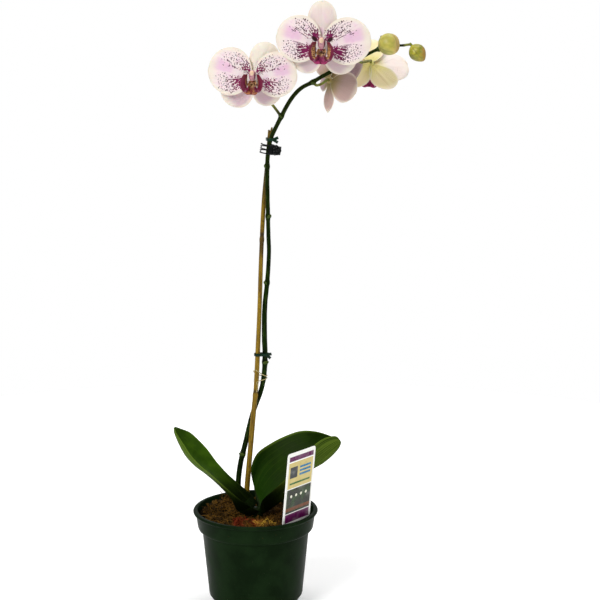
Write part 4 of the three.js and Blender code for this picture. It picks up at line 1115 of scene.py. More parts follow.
# Blooms
# Each bloom is a whorl of three sepals behind two broad petals, with a lobed lip and a column in its middle.
# Its waxy white flesh is blushed with lavender and spotted purple in two fans on each petal, paler behind.
SEPAL = {"peak": 1.25, "round": 0.44, "base": -0.7, "cup": -0.1, "wave": 0.4, "waves": 4}
PETAL = {"peak": 0.96, "round": 0.42, "base": 1.7, "cup": -0.07, "wave": 0.8, "waves": 5}
CLAW = 2.6
HEEL = 2.4
TEPAL_THICKNESS = 0.8
CUP_LIFT = 1.8
SEPAL_HUB = {"radius": 3.4, "tip": 1.9, "low": -1.7, "slope": 1.2, "high": 0.3}
PETAL_HUB = {"radius": 3.2, "tip": 3.0, "low": 0.7, "slope": 0.2, "high": 2.5}
PETAL_WHITE = colour(236, 220, 220)
PETAL_CREAM = colour(234, 226, 208)
PETAL_RIM = colour(224, 216, 192)
PETAL_HEART = colour(246, 238, 234)
BLUSH = colour(222, 172, 208)
DOT_LONG = 2.5
DOT_WIDE = 1.6
EYE_PLACE = (8.8, 4.6, 0)
EYE_TURN = 0.5
EYE_REACH = (3.4, 2.2, 1)
SPOT_DARK = colour(74, 18, 48)
SPOT_BRIGHT = colour(126, 10, 78)
# The eye: dark maroon, partly the petal's own mark and partly painted shadow in the hollow beside the column
EYE_MARK_AND_SHADOW = colour(46, 2, 14)
VEIN_PINK = colour(216, 180, 186)


def larger(tree, *values):
    return calc(tree, "MAXIMUM", *values)


def joined(tree, x, y, z=0.0):
    return add(tree, "ShaderNodeCombineXYZ", {0: x, 1: y, 2: z}).outputs[0]


def seen_from(tree, vector, middle, turn, reach):
    """The vector from a middle, turned in the plane and measured in a reach for each axis"""
    inputs = {"Vector": vector, "Location": middle, "Rotation": (0, 0, turn), "Scale": reach}
    return add(tree, "ShaderNodeMapping", inputs, vector_type="TEXTURE").outputs[0]


def tepal_surface(angle, length, width, peak, round, base, rise, bend, cup, wave, waves):
    """A sepal's or petal's surface in its bloom's own axes, as a function of the share along and across it"""
    turn = math.radians(angle)

    def place(t, v):
        full = width / 2 * np.sin(np.pi * np.clip(t, 1e-6, 1) ** peak) ** round
        half = np.maximum(full, np.where(t < 0.5, CLAW, 0.12))
        along, sideways = HEEL + length * t, half * v
        early = np.clip(1.4 * t, 0, 1)
        grown = v * v * early * early * (3 - 2 * early)
        ripple = 0.2 * wave * np.sin(19 * t + 9 * v) * grown * v * v
        ruffle = wave * np.sin(waves * (v + 2 * t)) * grown + ripple
        crease = -0.5 * np.exp(-(v / 0.09) ** 2) * np.sin(np.pi * np.clip(t, 0, 1))
        reach = np.hypot(along, sideways)
        out = base + rise * reach + bend * reach ** 2 / length + cup * v * v * half + ruffle + crease
        x = along * math.cos(turn) - sideways * math.sin(turn)
        y = along * math.sin(turn) + sideways * math.cos(turn)
        return np.stack([x, y, out], -1)

    return place


def tepal_depth(t, v):
    return TEPAL_THICKNESS * (0.3 + 0.7 * np.sqrt(1 - 0.999 * np.maximum(np.abs(v), t) ** 12))


def tepal(shape, size, finish, mirror=1):
    """One sepal or petal. Its flat mark is how far out along its axis a point lies and how far beside it."""
    scaled = {**shape, "length": shape["length"] * size, "width": shape["width"] * size}
    rows = np.sin(np.linspace(0, np.pi / 2, 64)) * 0.998
    sheet = blade(tepal_surface(**scaled), rows, close_at_ends(-1, 1, 41), tepal_depth)
    turn = math.radians(shape["angle"])
    x, y = sheet["points"][:, 0], sheet["points"][:, 1]
    out = x * math.cos(turn) + y * math.sin(turn)
    up = mirror * (y * math.cos(turn) - x * math.sin(turn))
    return {**sheet, "flat": np.column_stack([out, up, np.zeros(len(x))]) / size, "finish": finish}


def hub(shape, side, finish):
    """The disc that joins a bloom's sepals, or its petals, in the middle"""
    low, high, radius = shape["low"], shape["high"], shape["radius"]
    profile = [(0, low), (shape["tip"], low), (radius, low + shape["slope"]), (radius, high), (0, high)]
    disc = turned(rounded(profile, 0.3), 32)
    disc["place"][:] = (0, 0, side)
    return {**disc, "flat": np.zeros((len(disc["points"]), 3)), "finish": finish}


def petal_markings():
    """Dots in two fans on a petal that run together towards its root, dashes and an eye, a dark blot that is
    partly a mark and partly painted shadow beside the column, blush between the fans, fine veins and a cream
    rim. The marks reach to a share of the petal's length."""
    inputs = {"Flat": Vector((0, 0, 0)), "Grid": Vector((0, 0, 0)), "Spots": 1.0, "Dashes": 1.0, "Reach": 1.0,
              "Seed": 0.0, "Core": 1.0, "Blush": 1.0, "Flesh": PETAL_WHITE}
    outputs = {"Colour": "Color", "Spotted": "Float", "Veins": "Float"}
    group, given, out = new_effect("petal_markings", inputs, outputs)
    outward, beside, _ = split(group, given["Flat"])
    across, along, _ = split(group, given["Grid"])
    squares = plus(group, times(group, outward, outward), times(group, beside, beside))
    far = calc(group, "SQRT", squares)
    turn = calc(group, "ARCTAN2", beside, larger(group, outward, 0.01))
    deep = calc(group, "LOGARITHM", larger(group, far, 1.0), math.e)
    edge = larger(group, size_of(group, across), along)
    reached = calc(group, "DIVIDE", far, given["Reach"])
    inside = fade(group, edge, 0.82, 0.95, 1.0, 0.0)
    wobble = fade(group, cloud(group, given["Flat"], 0.35, 1), 0.2, 0.8, -0.8, 0.8)
    streak_at = joined(group, times(group, turn, 14.0), times(group, deep, 3.0), given["Seed"])
    streaks = fade(group, cloud(group, streak_at, 1.0, 1), 0.25, 0.75, 0.25, 1.1)

    def fan(middle, half):
        away = size_of(group, minus(group, turn, middle))
        return fade(group, away, half * 0.5, half, 1.0, 0.0)

    def band(low, full, end, last):
        """1 from full to end, and nothing below low or above last"""
        return times(group, fade(group, reached, low, full), fade(group, reached, end, last, 1.0, 0.0))

    def marks(where, share, size):
        """Blots of a size, one in each cell, kept in as many cells as the share asks"""
        cells = add(group, "ShaderNodeTexVoronoi", {"Vector": where, "Scale": 1.0, "Randomness": 0.85},
                    voronoi_dimensions="2D")
        odd = add(group, "ShaderNodeSeparateColor", {0: cells.outputs["Color"]}).outputs
        kept = fade(group, minus(group, share, odd[0]), 0.0, 0.1)
        grown = plus(group, size, times(group, odd[1], 0.16))
        return times(group, fade(group, minus(group, grown, cells.outputs["Distance"]), -0.07, 0.07), kept)

    def dots(middle, spread, core):
        """Dots drawn out along the middle of a fan, larger where the core is"""
        uneven = joined(group, plus(group, outward, given["Seed"]), plus(group, beside, wobble))
        where = seen_from(group, uneven, (0, 0, 0), middle, (DOT_LONG, DOT_WIDE, 1))
        full = plus(group, times(group, spread, 1.15), core)
        share = times(group, full, times(group, given["Spots"], inside))
        apart = marks(where, share, plus(group, times(group, core, 0.2), 0.15))
        together = fade(group, minus(group, times(group, core, given["Core"]), streaks), 0, 0.12)
        return larger(group, apart, times(group, together, given["Spots"]))

    upper_core = times(group, fan(0.74, 0.44), band(4.5, 7.0, 12.0, 23.0))
    lower_core = times(group, fan(-0.56, 0.46), band(4.5, 7.0, 17.0, 32.0))
    upper = dots(0.6, times(group, fan(0.72, 0.66), band(7.0, 12.0, 27.0, 40.0)), upper_core)
    lower = dots(-0.4, times(group, fan(-0.5, 0.52), band(7.0, 12.0, 30.0, 44.0)), lower_core)
    rays = larger(group, times(group, fan(0.5, 0.42), band(8.0, 11.0, 26.0, 38.0)),
                  times(group, fan(-0.42, 0.36), band(10.0, 14.0, 24.0, 36.0)))
    ray_at = joined(group, times(group, turn, 15.0), times(group, deep, 1.5))
    dashed = marks(ray_at, times(group, rays, given["Dashes"]), 0.15)
    spotted = larger(group, larger(group, upper, lower), dashed)
    # The eye, partly a mark and partly painted shadow beside the column
    eye_away = vector_calc(group, "LENGTH", seen_from(group, given["Flat"], EYE_PLACE, EYE_TURN, EYE_REACH))
    eye = times(group, fade(group, eye_away, 0.75, 1.0, 1.0, 0.0), given["Dashes"])
    blush_away = size_of(group, minus(group, turn, 0.12))
    patch = times(group, fade(group, blush_away, 0.1, 0.22, 1.0, 0.0), band(19.0, 25.0, 40.0, 46.0))
    cloudy = fade(group, cloud(group, given["Flat"], 0.12, 2), 0.5, 0.75, 0.0, 0.4)
    lilac = plus(group, times(group, patch, 0.6), cloudy)
    veins = cloud(group, joined(group, times(group, turn, 26.0), deep), 1.2, 2)
    flesh = tint(group, fade(group, far, 6.0, 20.0), PETAL_HEART, given["Flesh"])
    flesh = tint(group, times(group, lilac, given["Blush"]), flesh, BLUSH)
    flesh = tint(group, fade(group, veins, 0.5, 0.75, 0.0, 0.22), flesh, VEIN_PINK)
    flesh = tint(group, fade(group, edge, 0.74, 0.94, 0.0, 0.8), flesh, PETAL_CREAM)
    flesh = tint(group, fade(group, edge, 0.965, 1.0, 0.0, 0.8), flesh, PETAL_RIM)
    dusky = fade(group, plus(group, reached, times(group, turn, 5.0)), 14.0, 25.0)
    flesh = tint(group, spotted, flesh, tint(group, dusky, SPOT_BRIGHT, SPOT_DARK))
    group.links.new(tint(group, eye, flesh, EYE_MARK_AND_SHADOW), out["Colour"])
    group.links.new(spotted, out["Spotted"])
    group.links.new(veins, out["Veins"])
    return group


PETAL_MARKINGS = petal_markings()


def tepal_finish(name, back, claw, **marks):
    """Waxy flesh, marked on its front. Its back fades from its claw, and the marks show faintly there."""
    material, tree = new_finish(name, Roughness=0.5, Specular_IOR_Level=0.3, Subsurface_Weight=0.12,
                                Subsurface_Scale=0.001)
    flat = add(tree, "ShaderNodeAttribute", attribute_name="flat").outputs["Vector"]
    grid, across, along, side = read_mark(tree)
    marked = use_effect(tree, PETAL_MARKINGS, Flat=flat, Grid=grid, **marks)
    plain = tint(tree, fade(tree, along, 0.02, 0.5), claw, back)
    veined = tint(tree, fade(tree, marked["Veins"], 0.45, 0.8, 0.0, 0.22), plain, VEIN_PINK)
    rear = tint(tree, times(tree, marked["Spotted"], 0.18), veined, SPOT_DARK)
    edge = larger(tree, size_of(tree, across), along)
    rear = tint(tree, fade(tree, edge, 0.8, 0.98, 0.0, 0.6), rear, PETAL_CREAM)
    dress(tree, Base_Color=tint(tree, fade(tree, side, -0.2, 0.2), rear, marked["Colour"]),
          Normal=relief(tree, marked["Veins"], 0.0003))
    return material


# The lateral sepals' flesh is mauve-grey: partly their own mauve, partly painted shade where the petals
# overlap them
PLAIN_LOOK = {"crest": colour(236, 230, 214), "lateral": colour(204, 178, 184), "back": colour(220, 204, 202),
              "claw": colour(196, 180, 96), "petal_back": colour(226, 210, 208), "dashes": 0.5, "core": 0.8,
              "lip": "rosy"}
LOOKS = {
    "bloom_1": {**PLAIN_LOOK, "dashes": 0.35, "core": 0.72, "seed": 1.0, "lip": "tawny"},
    "bloom_2": {**PLAIN_LOOK, "crest": colour(228, 212, 206), "lateral": colour(208, 186, 188),
                "dashes": 1.0, "core": 0.95, "seed": 50.0},
    # Bloom 3 faces away and down: its darker back, claw and petal back are painted shade over the plain
    # colours
    "bloom_3": {**PLAIN_LOOK, "back": colour(184, 156, 148), "claw": colour(160, 142, 84),
                "petal_back": colour(184, 154, 160), "seed": 90.0},
    "bloom_4": {**PLAIN_LOOK, "back": colour(226, 212, 158), "claw": colour(226, 214, 124),
                "petal_back": colour(238, 226, 218), "seed": 130.0},
}


def bloom_frame(bloom):
    """Where the bloom's own axes lie: x to its right, y up its back sepal, z the way it faces"""
    z = unit(bloom["faces"])
    y = unit(np.array(bloom["up"]) - z * np.dot(bloom["up"], z))
    return np.column_stack([np.cross(y, z), y, z]), np.array(bloom["centre"], float)


def placed(part, axes, centre):
    return {**part, "points": part["points"] @ axes.T + centre}


def shaped(kind, outline, rise, bend):
    """The kind with an outline's angle, length and width, and its roundness where the outline gives one"""
    angle, length, width, sharpness = (*outline, kind["round"])[:4]
    own = {"angle": angle, "length": length, "width": width, "round": sharpness}
    return {**kind, **own, "rise": rise, "bend": bend}


def sepal_whorl(bloom, crest_look, lateral_look):
    crest = shaped(SEPAL, bloom["crest"], bloom["open"] - 0.06, -0.06)
    laterals = [shaped(SEPAL, outline, bloom["open"] - 0.12, -0.14) for outline in bloom["lateral"]]
    return [hub(SEPAL_HUB, -1, crest_look), tepal(crest, bloom["size"], crest_look),
            *[tepal(shape, bloom["size"], lateral_look) for shape in laterals]]


def petal_pair(bloom, finish):
    pair = [hub(PETAL_HUB, 1, finish)]
    for outline, bend, mirror in zip(bloom["petal"], (bloom["curl"] - 0.1, -0.1), (1, -1)):
        pair.append(tepal(shaped(PETAL, outline, bloom["open"] + 0.04, bend), bloom["size"], finish, mirror))
    return pair


# Lips and columns
# The lip is the bloom's lowest petal: two side lobes that stand up like cupped hands, a middle lobe with a
# pair of curled horns, and a warty ridge between. The column over it is a lilac hood with a cream cap.
LOBE_LINE = [(2.2, -9, 6.8), (6, -9.8, 8.8), (7.8, -3, 10.4), (6.2, 5.2, 11.4)]
LOBE_WAY = (0.62, 0.1, 0.78)
MIDDLE_LINE = [(0, -2.8, 5.4), (0, -7, 7.4), (0, -11.5, 10.2), (0, -15.8, 14)]
HORN_LINE = [(1.2, -14.4, 13.4), (4.2, -15, 14.6), (7, -13, 15.6)]
CLAW_PROFILE = [(0, 2.95), (1.4, 2.95), (1.4, 8.25), (0, 8.25)]
COLUMN_RINGS = [(2.6, 2.8, 2.2), (3, 4.4, 2.7), (3.4, 6.2, 3.2), (3.5, 8, 3.5), (3.3, 9.6, 3.4),
                (2.9, 11, 2.7), (2.6, 11.8, 1.4)]
COLUMN_TALL = 1.7
COLUMN_WIDE = 1.05
CAP_PLACE = (0, 6.6, 0)
CAP_REACH = (2.4, 2.6, 100)
FLANK_START = 2.0
FLANK_END = 3.2
LIP_CRIMSON = colour(106, 8, 36)
LIP_PURPLE = colour(108, 12, 60)
LIP_PINK = colour(172, 46, 104)
LIP_GOLD = colour(178, 116, 62)
LIP_TAN = colour(204, 152, 96)
LIP_BAR = colour(70, 16, 14)
LIP_DEEP = colour(56, 8, 12)
COLUMN_LILAC = colour(196, 140, 150)
COLUMN_PURPLE = colour(96, 30, 56)
CAP_CREAM = colour(222, 190, 160)


def lobe_depth(t, v):
    return 0.75 * (0.35 + 0.65 * np.sqrt(1 - 0.999 * np.maximum(np.abs(v), 2 * np.abs(t - 0.5)) ** 8))


def ribbon(line, width_way, half, fold, finish):
    """A lobe along a line, as wide and as far folded as the functions half and fold give"""
    route = through(line)

    def place(t, v):
        t = np.clip(t, 0, 1)
        ahead, behind = np.clip(t + 0.001, 0, 1), np.clip(t - 0.001, 0, 1)
        along = unit(route(ahead) - route(behind))
        side = unit(width_way - along * (along @ np.array(width_way))[..., None])
        wide = half(t)
        raised = fold(t) * wide * v * v + 0.25 * np.sin(9 * t + 5 * v) * v * v
        return route(t) + side * (wide * v)[..., None] + np.cross(side, along) * raised[..., None]

    return {**blade(place, close_at_ends(0, 1, 36), close_at_ends(-1, 1, 23), lobe_depth), "finish": finish}


def lobe_finish(name, edge):
    """Crimson outside and over its free edge, which starts at that share across, and barred tan inside"""
    material, tree = new_finish("lobe_" + name, Roughness=0.42)
    grid, across, along, side = read_mark(tree)
    mottle = cloud(tree, grid, 7, 3, (1, 1.5, 0))
    bars = cloud(tree, grid, 6, 2, (0.4, 3.2, 0))
    outer = tint(tree, fade(tree, mottle, 0.35, 0.7), LIP_PURPLE, LIP_CRIMSON)
    barred = tint(tree, fade(tree, bars, 0.46, 0.56, 0.0, 0.85), LIP_TAN, LIP_BAR)
    deep = tint(tree, fade(tree, across, -0.7, -0.2, 0.8, 0.0), barred, LIP_DEEP)
    inner = tint(tree, fade(tree, across, edge, edge + 0.25), deep, outer)
    tipped = tint(tree, fade(tree, along, 0.7, 0.95), inner, LIP_CRIMSON)
    dress(tree, Base_Color=tint(tree, fade(tree, side, -0.2, 0.2), outer, tipped),
          Normal=relief(tree, mottle, 0.0002))
    return material


def middle_finish(name, low, high):
    """Barred tan at its root, then mottled in two colours with a dark middle line towards its points"""
    material, tree = new_finish("lip_" + name, Roughness=0.4, Specular_IOR_Level=0.3)
    grid, across, along, _ = read_mark(tree)
    mottle = cloud(tree, grid, 6, 3, (1, 1, 0))
    bars = cloud(tree, grid, 5, 2, (2.2, 0.7, 0))
    mottled = tint(tree, fade(tree, mottle, 0.4, 0.65), low, high)
    barred = tint(tree, fade(tree, bars, 0.42, 0.55, 0.0, 0.9), LIP_TAN, LIP_BAR)
    away = size_of(tree, across)
    striped = tint(tree, fade(tree, away, 0.1, 0.35, 0.7, 0.0), mottled, low)
    dress(tree, Base_Color=tint(tree, fade(tree, along, 0.4, 0.6), barred, striped),
          Normal=relief(tree, mottle, 0.0002))
    return material


def column_finish():
    """A lilac hood, darkened to purple on its flanks as painted shade, with a cream cap"""
    material, tree = new_finish("column", Roughness=0.4, Specular_IOR_Level=0.3, Subsurface_Weight=0.1,
                                Subsurface_Scale=0.001)
    flat = add(tree, "ShaderNodeAttribute", attribute_name="flat").outputs["Vector"]
    aside = size_of(tree, split(tree, flat)[0])
    mottle = cloud(tree, flat, 0.5, 3)
    hood = tint(tree, fade(tree, mottle, 0.2, 0.5), COLUMN_PURPLE, COLUMN_LILAC)
    # Painted shade: the hood darkens to purple towards both flanks
    shaded = tint(tree, fade(tree, aside, FLANK_START, FLANK_END), hood, COLUMN_PURPLE)
    cap_away = vector_calc(tree, "LENGTH", seen_from(tree, flat, CAP_PLACE, 0, CAP_REACH))
    dress(tree, Base_Color=tint(tree, fade(tree, cap_away, 0.85, 1.05, 1.0, 0.0), shaded, CAP_CREAM),
          Normal=relief(tree, mottle, 0.0002))
    return material


def ball(centre, radii, finish):
    steps = np.linspace(0, np.pi, 18)
    part = turned([(math.sin(a), -math.cos(a)) for a in steps], 24)
    return {**part, "points": part["points"] * radii + centre, "finish": finish}


def lobe_half(t):
    return 1.8 + 3.5 * np.sin(np.pi * np.minimum(0.97, np.maximum(t, 1e-6) ** 0.9)) ** 0.6


def middle_half(t):
    """Broad at its root, then waisted, then drawn out into two points before its tip"""
    root = 3.4 + 1.4 * np.sin(np.pi * np.clip(t / 0.6, 0, 1))
    return root + 3.0 * np.exp(-((t - 0.87) / 0.1) ** 2) - 2.2 * t ** 8


def horn_radius(s, angle):
    return 1.4 - 0.9 * s + 0 * angle


def lip_parts(lobe_look, middle_look, callus_look):
    """The lip in its bloom's own axes: side lobes, horns, warty ridge, middle lobe and claw"""
    parts = []
    for s in (1, -1):
        line = [(s * x, y, z) for x, y, z in LOBE_LINE]
        way = (LOBE_WAY[0] * s, *LOBE_WAY[1:])
        lobe = ribbon(line, way, lobe_half, lambda t: -0.3 * s + 0 * t, lobe_look)
        lobe["place"][:, 2] *= -s
        horn = lofted(tube_rings([(s * x, y, z) for x, y, z in HORN_LINE], horn_radius, 24, 10))
        horn["place"][:, 1] = 1
        parts += [lobe, {**horn, "finish": middle_look}]
        parts.append(ball((1.7 * s, -5.2, 8.2), (1.3, 1.6, 1.7), callus_look))
    parts.append(ribbon(MIDDLE_LINE, (1, 0, 0), middle_half, lambda t: 0.45 * t ** 2 - 0.35, middle_look))
    parts.append(ball((0, -4.4, 7.4), (1.9, 1.4, 1.9), callus_look))
    claw = turned(CLAW_PROFILE, 20)
    parts.append({**claw, "points": claw["points"] + (0, -3.2, 0), "finish": middle_look})
    return parts


def column_part(finish):
    shape = through(COLUMN_RINGS)(np.linspace(0, 1, 40))
    ways = unit(np.gradient(shape[:, :2], axis=0))
    angle = all_round(28)
    rings = []
    for (y, z, radius), (up, forward) in zip(shape, ways):
        wide, tall = COLUMN_WIDE * radius * np.cos(angle), COLUMN_TALL * radius * np.sin(angle)
        rings.append(np.column_stack([wide, y + forward * tall, z - up * tall]))
    post = lofted(rings)
    return {**post, "flat": post["points"].copy(), "finish": finish}


def narrowed(parts, share, axes, centre):
    """The parts in their place, made that share as wide and as tall"""
    return [placed({**part, "points": part["points"] * (share, share, 1)}, axes, centre) for part in parts]


CALLUS_FINISH = grained("lip_callus", LIP_TAN, LIP_DEEP, (1100, 2), (0.36, 0.48), 0.0003, Roughness=0.38)
LIP_FINISHES = {
    "rosy": (lobe_finish("rosy", 0.35), middle_finish("rosy", LIP_PURPLE, LIP_PINK), CALLUS_FINISH),
    "tawny": (lobe_finish("tawny", -0.3), middle_finish("tawny", LIP_CRIMSON, LIP_GOLD), CALLUS_FINISH),
}
COLUMN_FINISH = column_finish()
for bloom in BLOOMS:
    name, look = bloom["name"], LOOKS[bloom["name"]]
    axes, centre = bloom_frame(bloom)
    forward = axes[:, 2] * CUP_LIFT * bloom["open"]
    looks = [tepal_finish(name + "_" + part, look["back"], look["claw"], Spots=0.5, Dashes=0.0, Reach=0.4,
                          Seed=look["seed"], Blush=0.6, Flesh=look[part]) for part in ("crest", "lateral")]
    petal_look = tepal_finish(name + "_petal", look["petal_back"], look["claw"], Dashes=look["dashes"],
                              Core=look["core"], Seed=look["seed"])
    sepals = [placed(part, axes, centre) for part in sepal_whorl(bloom, *looks)]
    petals = [placed(part, axes, centre) for part in petal_pair(bloom, petal_look)]
    lip = narrowed(lip_parts(*LIP_FINISHES[look["lip"]]), bloom["lip"], axes, centre + forward)
    column = narrowed([column_part(COLUMN_FINISH)], bloom["lip"], axes, centre + forward)
    for piece, parts, slot, node in (
            ("sepal_whorl", sepals, "sepal", "sepals"), ("petal_pair", petals, "petal", "petals"),
            ("lip_lobes", lip, "lip", "lip"), ("column_hood", column, "column", "column")):
        stands_for(build(name + "_" + piece, parts, 60), name + "_" + node)

# Buds
# Two unopened buds hang near the end of the spray: yellow-green eggs, browned with rose where the sun has
# caught them, with three shallow seams where the sepals meet, painted darker as shade.
BUD_SIDES = 48
BUD_COLOURS = {"bud_large": (colour(156, 150, 56), colour(192, 182, 84), colour(184, 142, 92)),
               "bud_small": (colour(118, 120, 22), colour(178, 168, 46), colour(158, 104, 42))}
BUD_SHADE = colour(92, 92, 24)
BUD_SEAM_SHADE = colour(98, 94, 34)


def bud_body(length, width, finish):
    ridges = np.maximum(0, np.cos(3 * all_round(BUD_SIDES)))
    rings = []
    for t in close_at_ends(0, 1, 44):
        s = 0.02 + 0.96 * t
        radius = width / 2 * math.sin(math.pi * s ** 0.86) ** 0.66
        seam = 1 - (0.045 * ridges ** 3 + 0.03 * ridges ** 60) * math.sin(math.pi * s)
        rings.append(level_ring(radius * seam, length * (t - 0.5), BUD_SIDES))
    return {**lofted(rings), "finish": finish}


def bud_finish(name, middle, half_width):
    """A bud's skin in its own three colours, rosy right of its middle and darker towards its lower left"""
    olive, light, rose = BUD_COLOURS[name]
    material, tree = new_finish(name + "_skin", Roughness=0.45, Subsurface_Weight=0.08,
                                Subsurface_Scale=0.001)
    where = own_place(tree)
    x, _, z = split(tree, where)
    _, turn_x, _, turn_y = read_mark(tree)
    mottle = cloud(tree, where, 150, 4)
    green = tint(tree, fade(tree, mottle, 0.3, 0.7), olive, light)
    uneven = plus(tree, x, fade(tree, mottle, 0.2, 0.8, -0.003, 0.003))
    rosy = tint(tree, fade(tree, uneven, middle[0], middle[0] + half_width, 0.0, 0.7), green, rose)
    foot = middle[2] + 0.6 * middle[0]
    low = fade(tree, plus(tree, z, times(tree, uneven, 0.6)), foot - half_width * 1.1,
               foot - half_width * 0.3, 0.6, 0.0)
    shaded = tint(tree, low, rosy, BUD_SHADE)
    # Painted shade darkens the three seams
    seam = calc(tree, "COSINE", times(tree, calc(tree, "ARCTAN2", turn_y, turn_x), 3.0))
    dress(tree, Base_Color=tint(tree, fade(tree, seam, 0.985, 1.0, 0.0, 0.6), shaded, BUD_SEAM_SHADE),
          Normal=relief(tree, mottle, 0.0002))
    return material


for bud in BUDS:
    look = bud_finish(bud["name"], np.array(bud["centre"]) * MM, bud["width"] / 2 * MM)
    turn = np.array(Vector((0, 0, 1)).rotation_difference(Vector(bud["axis"])).to_matrix())
    body = placed(bud_body(bud["length"], bud["width"], look), turn, np.array(bud["centre"], float))
    stands_for(build(bud["name"] + "_skin", [body]), bud["name"])

# Ties
# Two lengths of soft green plant tape hold the stem to the cane. Each is wound once round both, and its two
# ends are pinched together beside the stem and splay.
TAPE = {"thickness": 0.9, "height": 3, "end": 5.5, "corner": 0.44}
SECTION_SIDES = 20
TIES = [
    {"name": "tie_lower", "cane": (2.8, 6.4), "stem": (10.4, 7.5), "height": 268.5, "radii": (2.85, 3.1),
     "way": (0.5, -0.87, 0), "ends": [(1, -0.1, -0.9), (1, -0.2, 0.25)]},
    {"name": "tie_upper", "cane": (15.7, 7.1), "stem": (17.3, -0.4), "height": 491, "radii": (2.85, 3.3),
     "way": (0.7, -0.7, 0), "ends": [(1, 0, 0.45), (1, -0.1, -0.6)]},
]
TAPE_GREEN = colour(3, 46, 24)
TAPE_DEEP = colour(2, 30, 15)


def swept(path, sides, tops, half_wide, half_tall, corner, closed=False):
    """A bar along a path, given its direction across and its direction up at each point. Its section is an
    oblong, square at corner 0 and round at 1. Its place mark is as a lofted body's."""
    turn = all_round(SECTION_SIDES) + np.pi / SECTION_SIDES
    across = np.sign(np.cos(turn)) * np.abs(np.cos(turn)) ** corner
    up = np.sign(np.sin(turn)) * np.abs(np.sin(turn)) ** corner
    wide, tall = (np.broadcast_to(half, len(path))[:, None, None] for half in (half_wide, half_tall))
    rings = path[:, None] + sides[:, None] * across[:, None] * wide + tops[:, None] * up[:, None] * tall
    if not closed:
        return lofted(rings)
    faces = wall_faces(len(rings), SECTION_SIDES, closed=True).tolist()
    return {"points": rings.reshape(-1, 3), "place": ring_marks(turn, len(rings)), "faces": faces}


def tape_loop(tie):
    """The stadium-shaped path round cane and stem, and the direction out of it"""
    cane_at, stem_at = np.array(tie["cane"]), np.array(tie["stem"])
    apart = stem_at - cane_at
    heading = math.atan2(apart[1], apart[0])
    lean = math.acos((tie["radii"][1] - tie["radii"][0]) / np.linalg.norm(apart))
    arcs = [(stem_at, tie["radii"][1], heading - (np.pi - lean), heading + (np.pi - lean)),
            (cane_at, tie["radii"][0], heading + (np.pi - lean), heading + np.pi + lean)]
    path, out = [], []
    for middle, radius, start, end in arcs:
        for angle in np.linspace(start, end, 26):
            way = np.array([math.cos(angle), math.sin(angle)])
            path.append([*(middle + way * (radius + TAPE["thickness"] / 2)), tie["height"]])
            out.append([*way, 0])
    return np.array(path), np.array(out)


def tape_end(start, way, finish):
    """One free end of the tape, a little curled"""
    turn = np.array(Vector((1, 0, 0)).rotation_difference(Vector(way)).to_matrix())
    s = np.linspace(0, 1, 18)
    curl = 0.7 * np.sin(np.pi * s) - 0.5 * s
    path = start + (np.column_stack([TAPE["end"] * s, curl, np.zeros(18)])) @ turn.T
    sides, tops = np.tile(turn[:, 2], (18, 1)), np.tile(-turn[:, 1], (18, 1))
    return {**swept(path, sides, tops, TAPE["height"] / 2, TAPE["thickness"] / 2, TAPE["corner"]),
            "finish": finish}


def tape_finish():
    material, tree = new_finish("plant_tape", Specular_IOR_Level=0.2)
    where = own_place(tree)
    worn = use_effect(tree, PLASTIC_WEAR, Place=where, Colour=TAPE_GREEN, Deep=TAPE_DEEP, Dust=0.05,
                      Roughness=0.4)
    creases = cloud(tree, where, 700, 3, (1, 1, 0.3))
    dress(tree, Base_Color=worn["Colour"], Roughness=worn["Roughness"], Normal=relief(tree, creases, 0.0004))
    return material


TAPE_FINISH = tape_finish()
for tie in TIES:
    path, out = tape_loop(tie)
    tops = np.tile((0, 0, 1), (len(path), 1))
    band = swept(path, out, tops, TAPE["thickness"] / 2, TAPE["height"] / 2, TAPE["corner"], closed=True)
    start = np.array([*tie["stem"], tie["height"]]) + unit(tie["way"]) * (tie["radii"][1] + 0.2)
    ends = [tape_end(start, way, TAPE_FINISH) for way in tie["ends"]]
    piece = build(tie["name"] + "_tape", [{**band, "finish": TAPE_FINISH}, *ends], 60)
    stands_for(piece, tie["name"])

# Fibre tie
# A strand of raffia was tied on before the tape: one and a half turns round cane and stem, with a loose end
# that lies against the cane. A point of it is on the cane's or the stem's side, at a height and a bearing.
FIBRE_RADIUS = 0.42
FIBRE_TUBE = {"Sides": 10, "Ripple": 0.0002}
FIBRE_STEPS = 300
FIBRE_REACH = {"cane": 3.2, "stem": 3.8}
FIBRE_WRAP = [
    ("cane", 229, 292), ("cane", 236, 300), ("cane", 239.6, 285), ("stem", 241, 255), ("stem", 242, 320),
    ("stem", 242.8, 20), ("stem", 243.6, 80), ("cane", 247, 100), ("cane", 249.6, 150), ("cane", 251.6, 200),
    ("cane", 252.4, 255), ("cane", 250.6, 300), ("stem", 247.4, 240), ("stem", 245.8, 290),
    ("stem", 245.2, 345), ("stem", 245.4, 40),
]
RAFFIA = colour(206, 192, 138)
RAFFIA_SHADE = colour(150, 132, 78)


def fibre_thickness(s):
    return FIBRE_RADIUS * (1 + 0.14 * np.cos(50 * s))


fibre_points = []
for which, height, turn in FIBRE_WRAP:
    route = np.array(CANE_ROUTE if which == "cane" else STEM_ROUTE)
    above = next(i for i, point in enumerate(route) if i > 2 and point[2] > height)
    share = (height - route[above - 1][2]) / (route[above][2] - route[above - 1][2])
    middle = route[above - 1] + (route[above] - route[above - 1]) * share
    turn = math.radians(turn)
    fibre_points.append(middle + FIBRE_REACH[which] * np.array([math.cos(turn), math.sin(turn), 0]))
FIBRE_TUBE["Finish"] = grained("raffia", RAFFIA_SHADE, RAFFIA, (2500, 2), (0.4, 0.65), 0.0003, Roughness=0.75)
fibre = stalk_line(fibre_points, fibre_thickness, FIBRE_STEPS)
stands_for(tubes("fibre_strand", [fibre], FIBRE_TUBE), "fibre_tie")

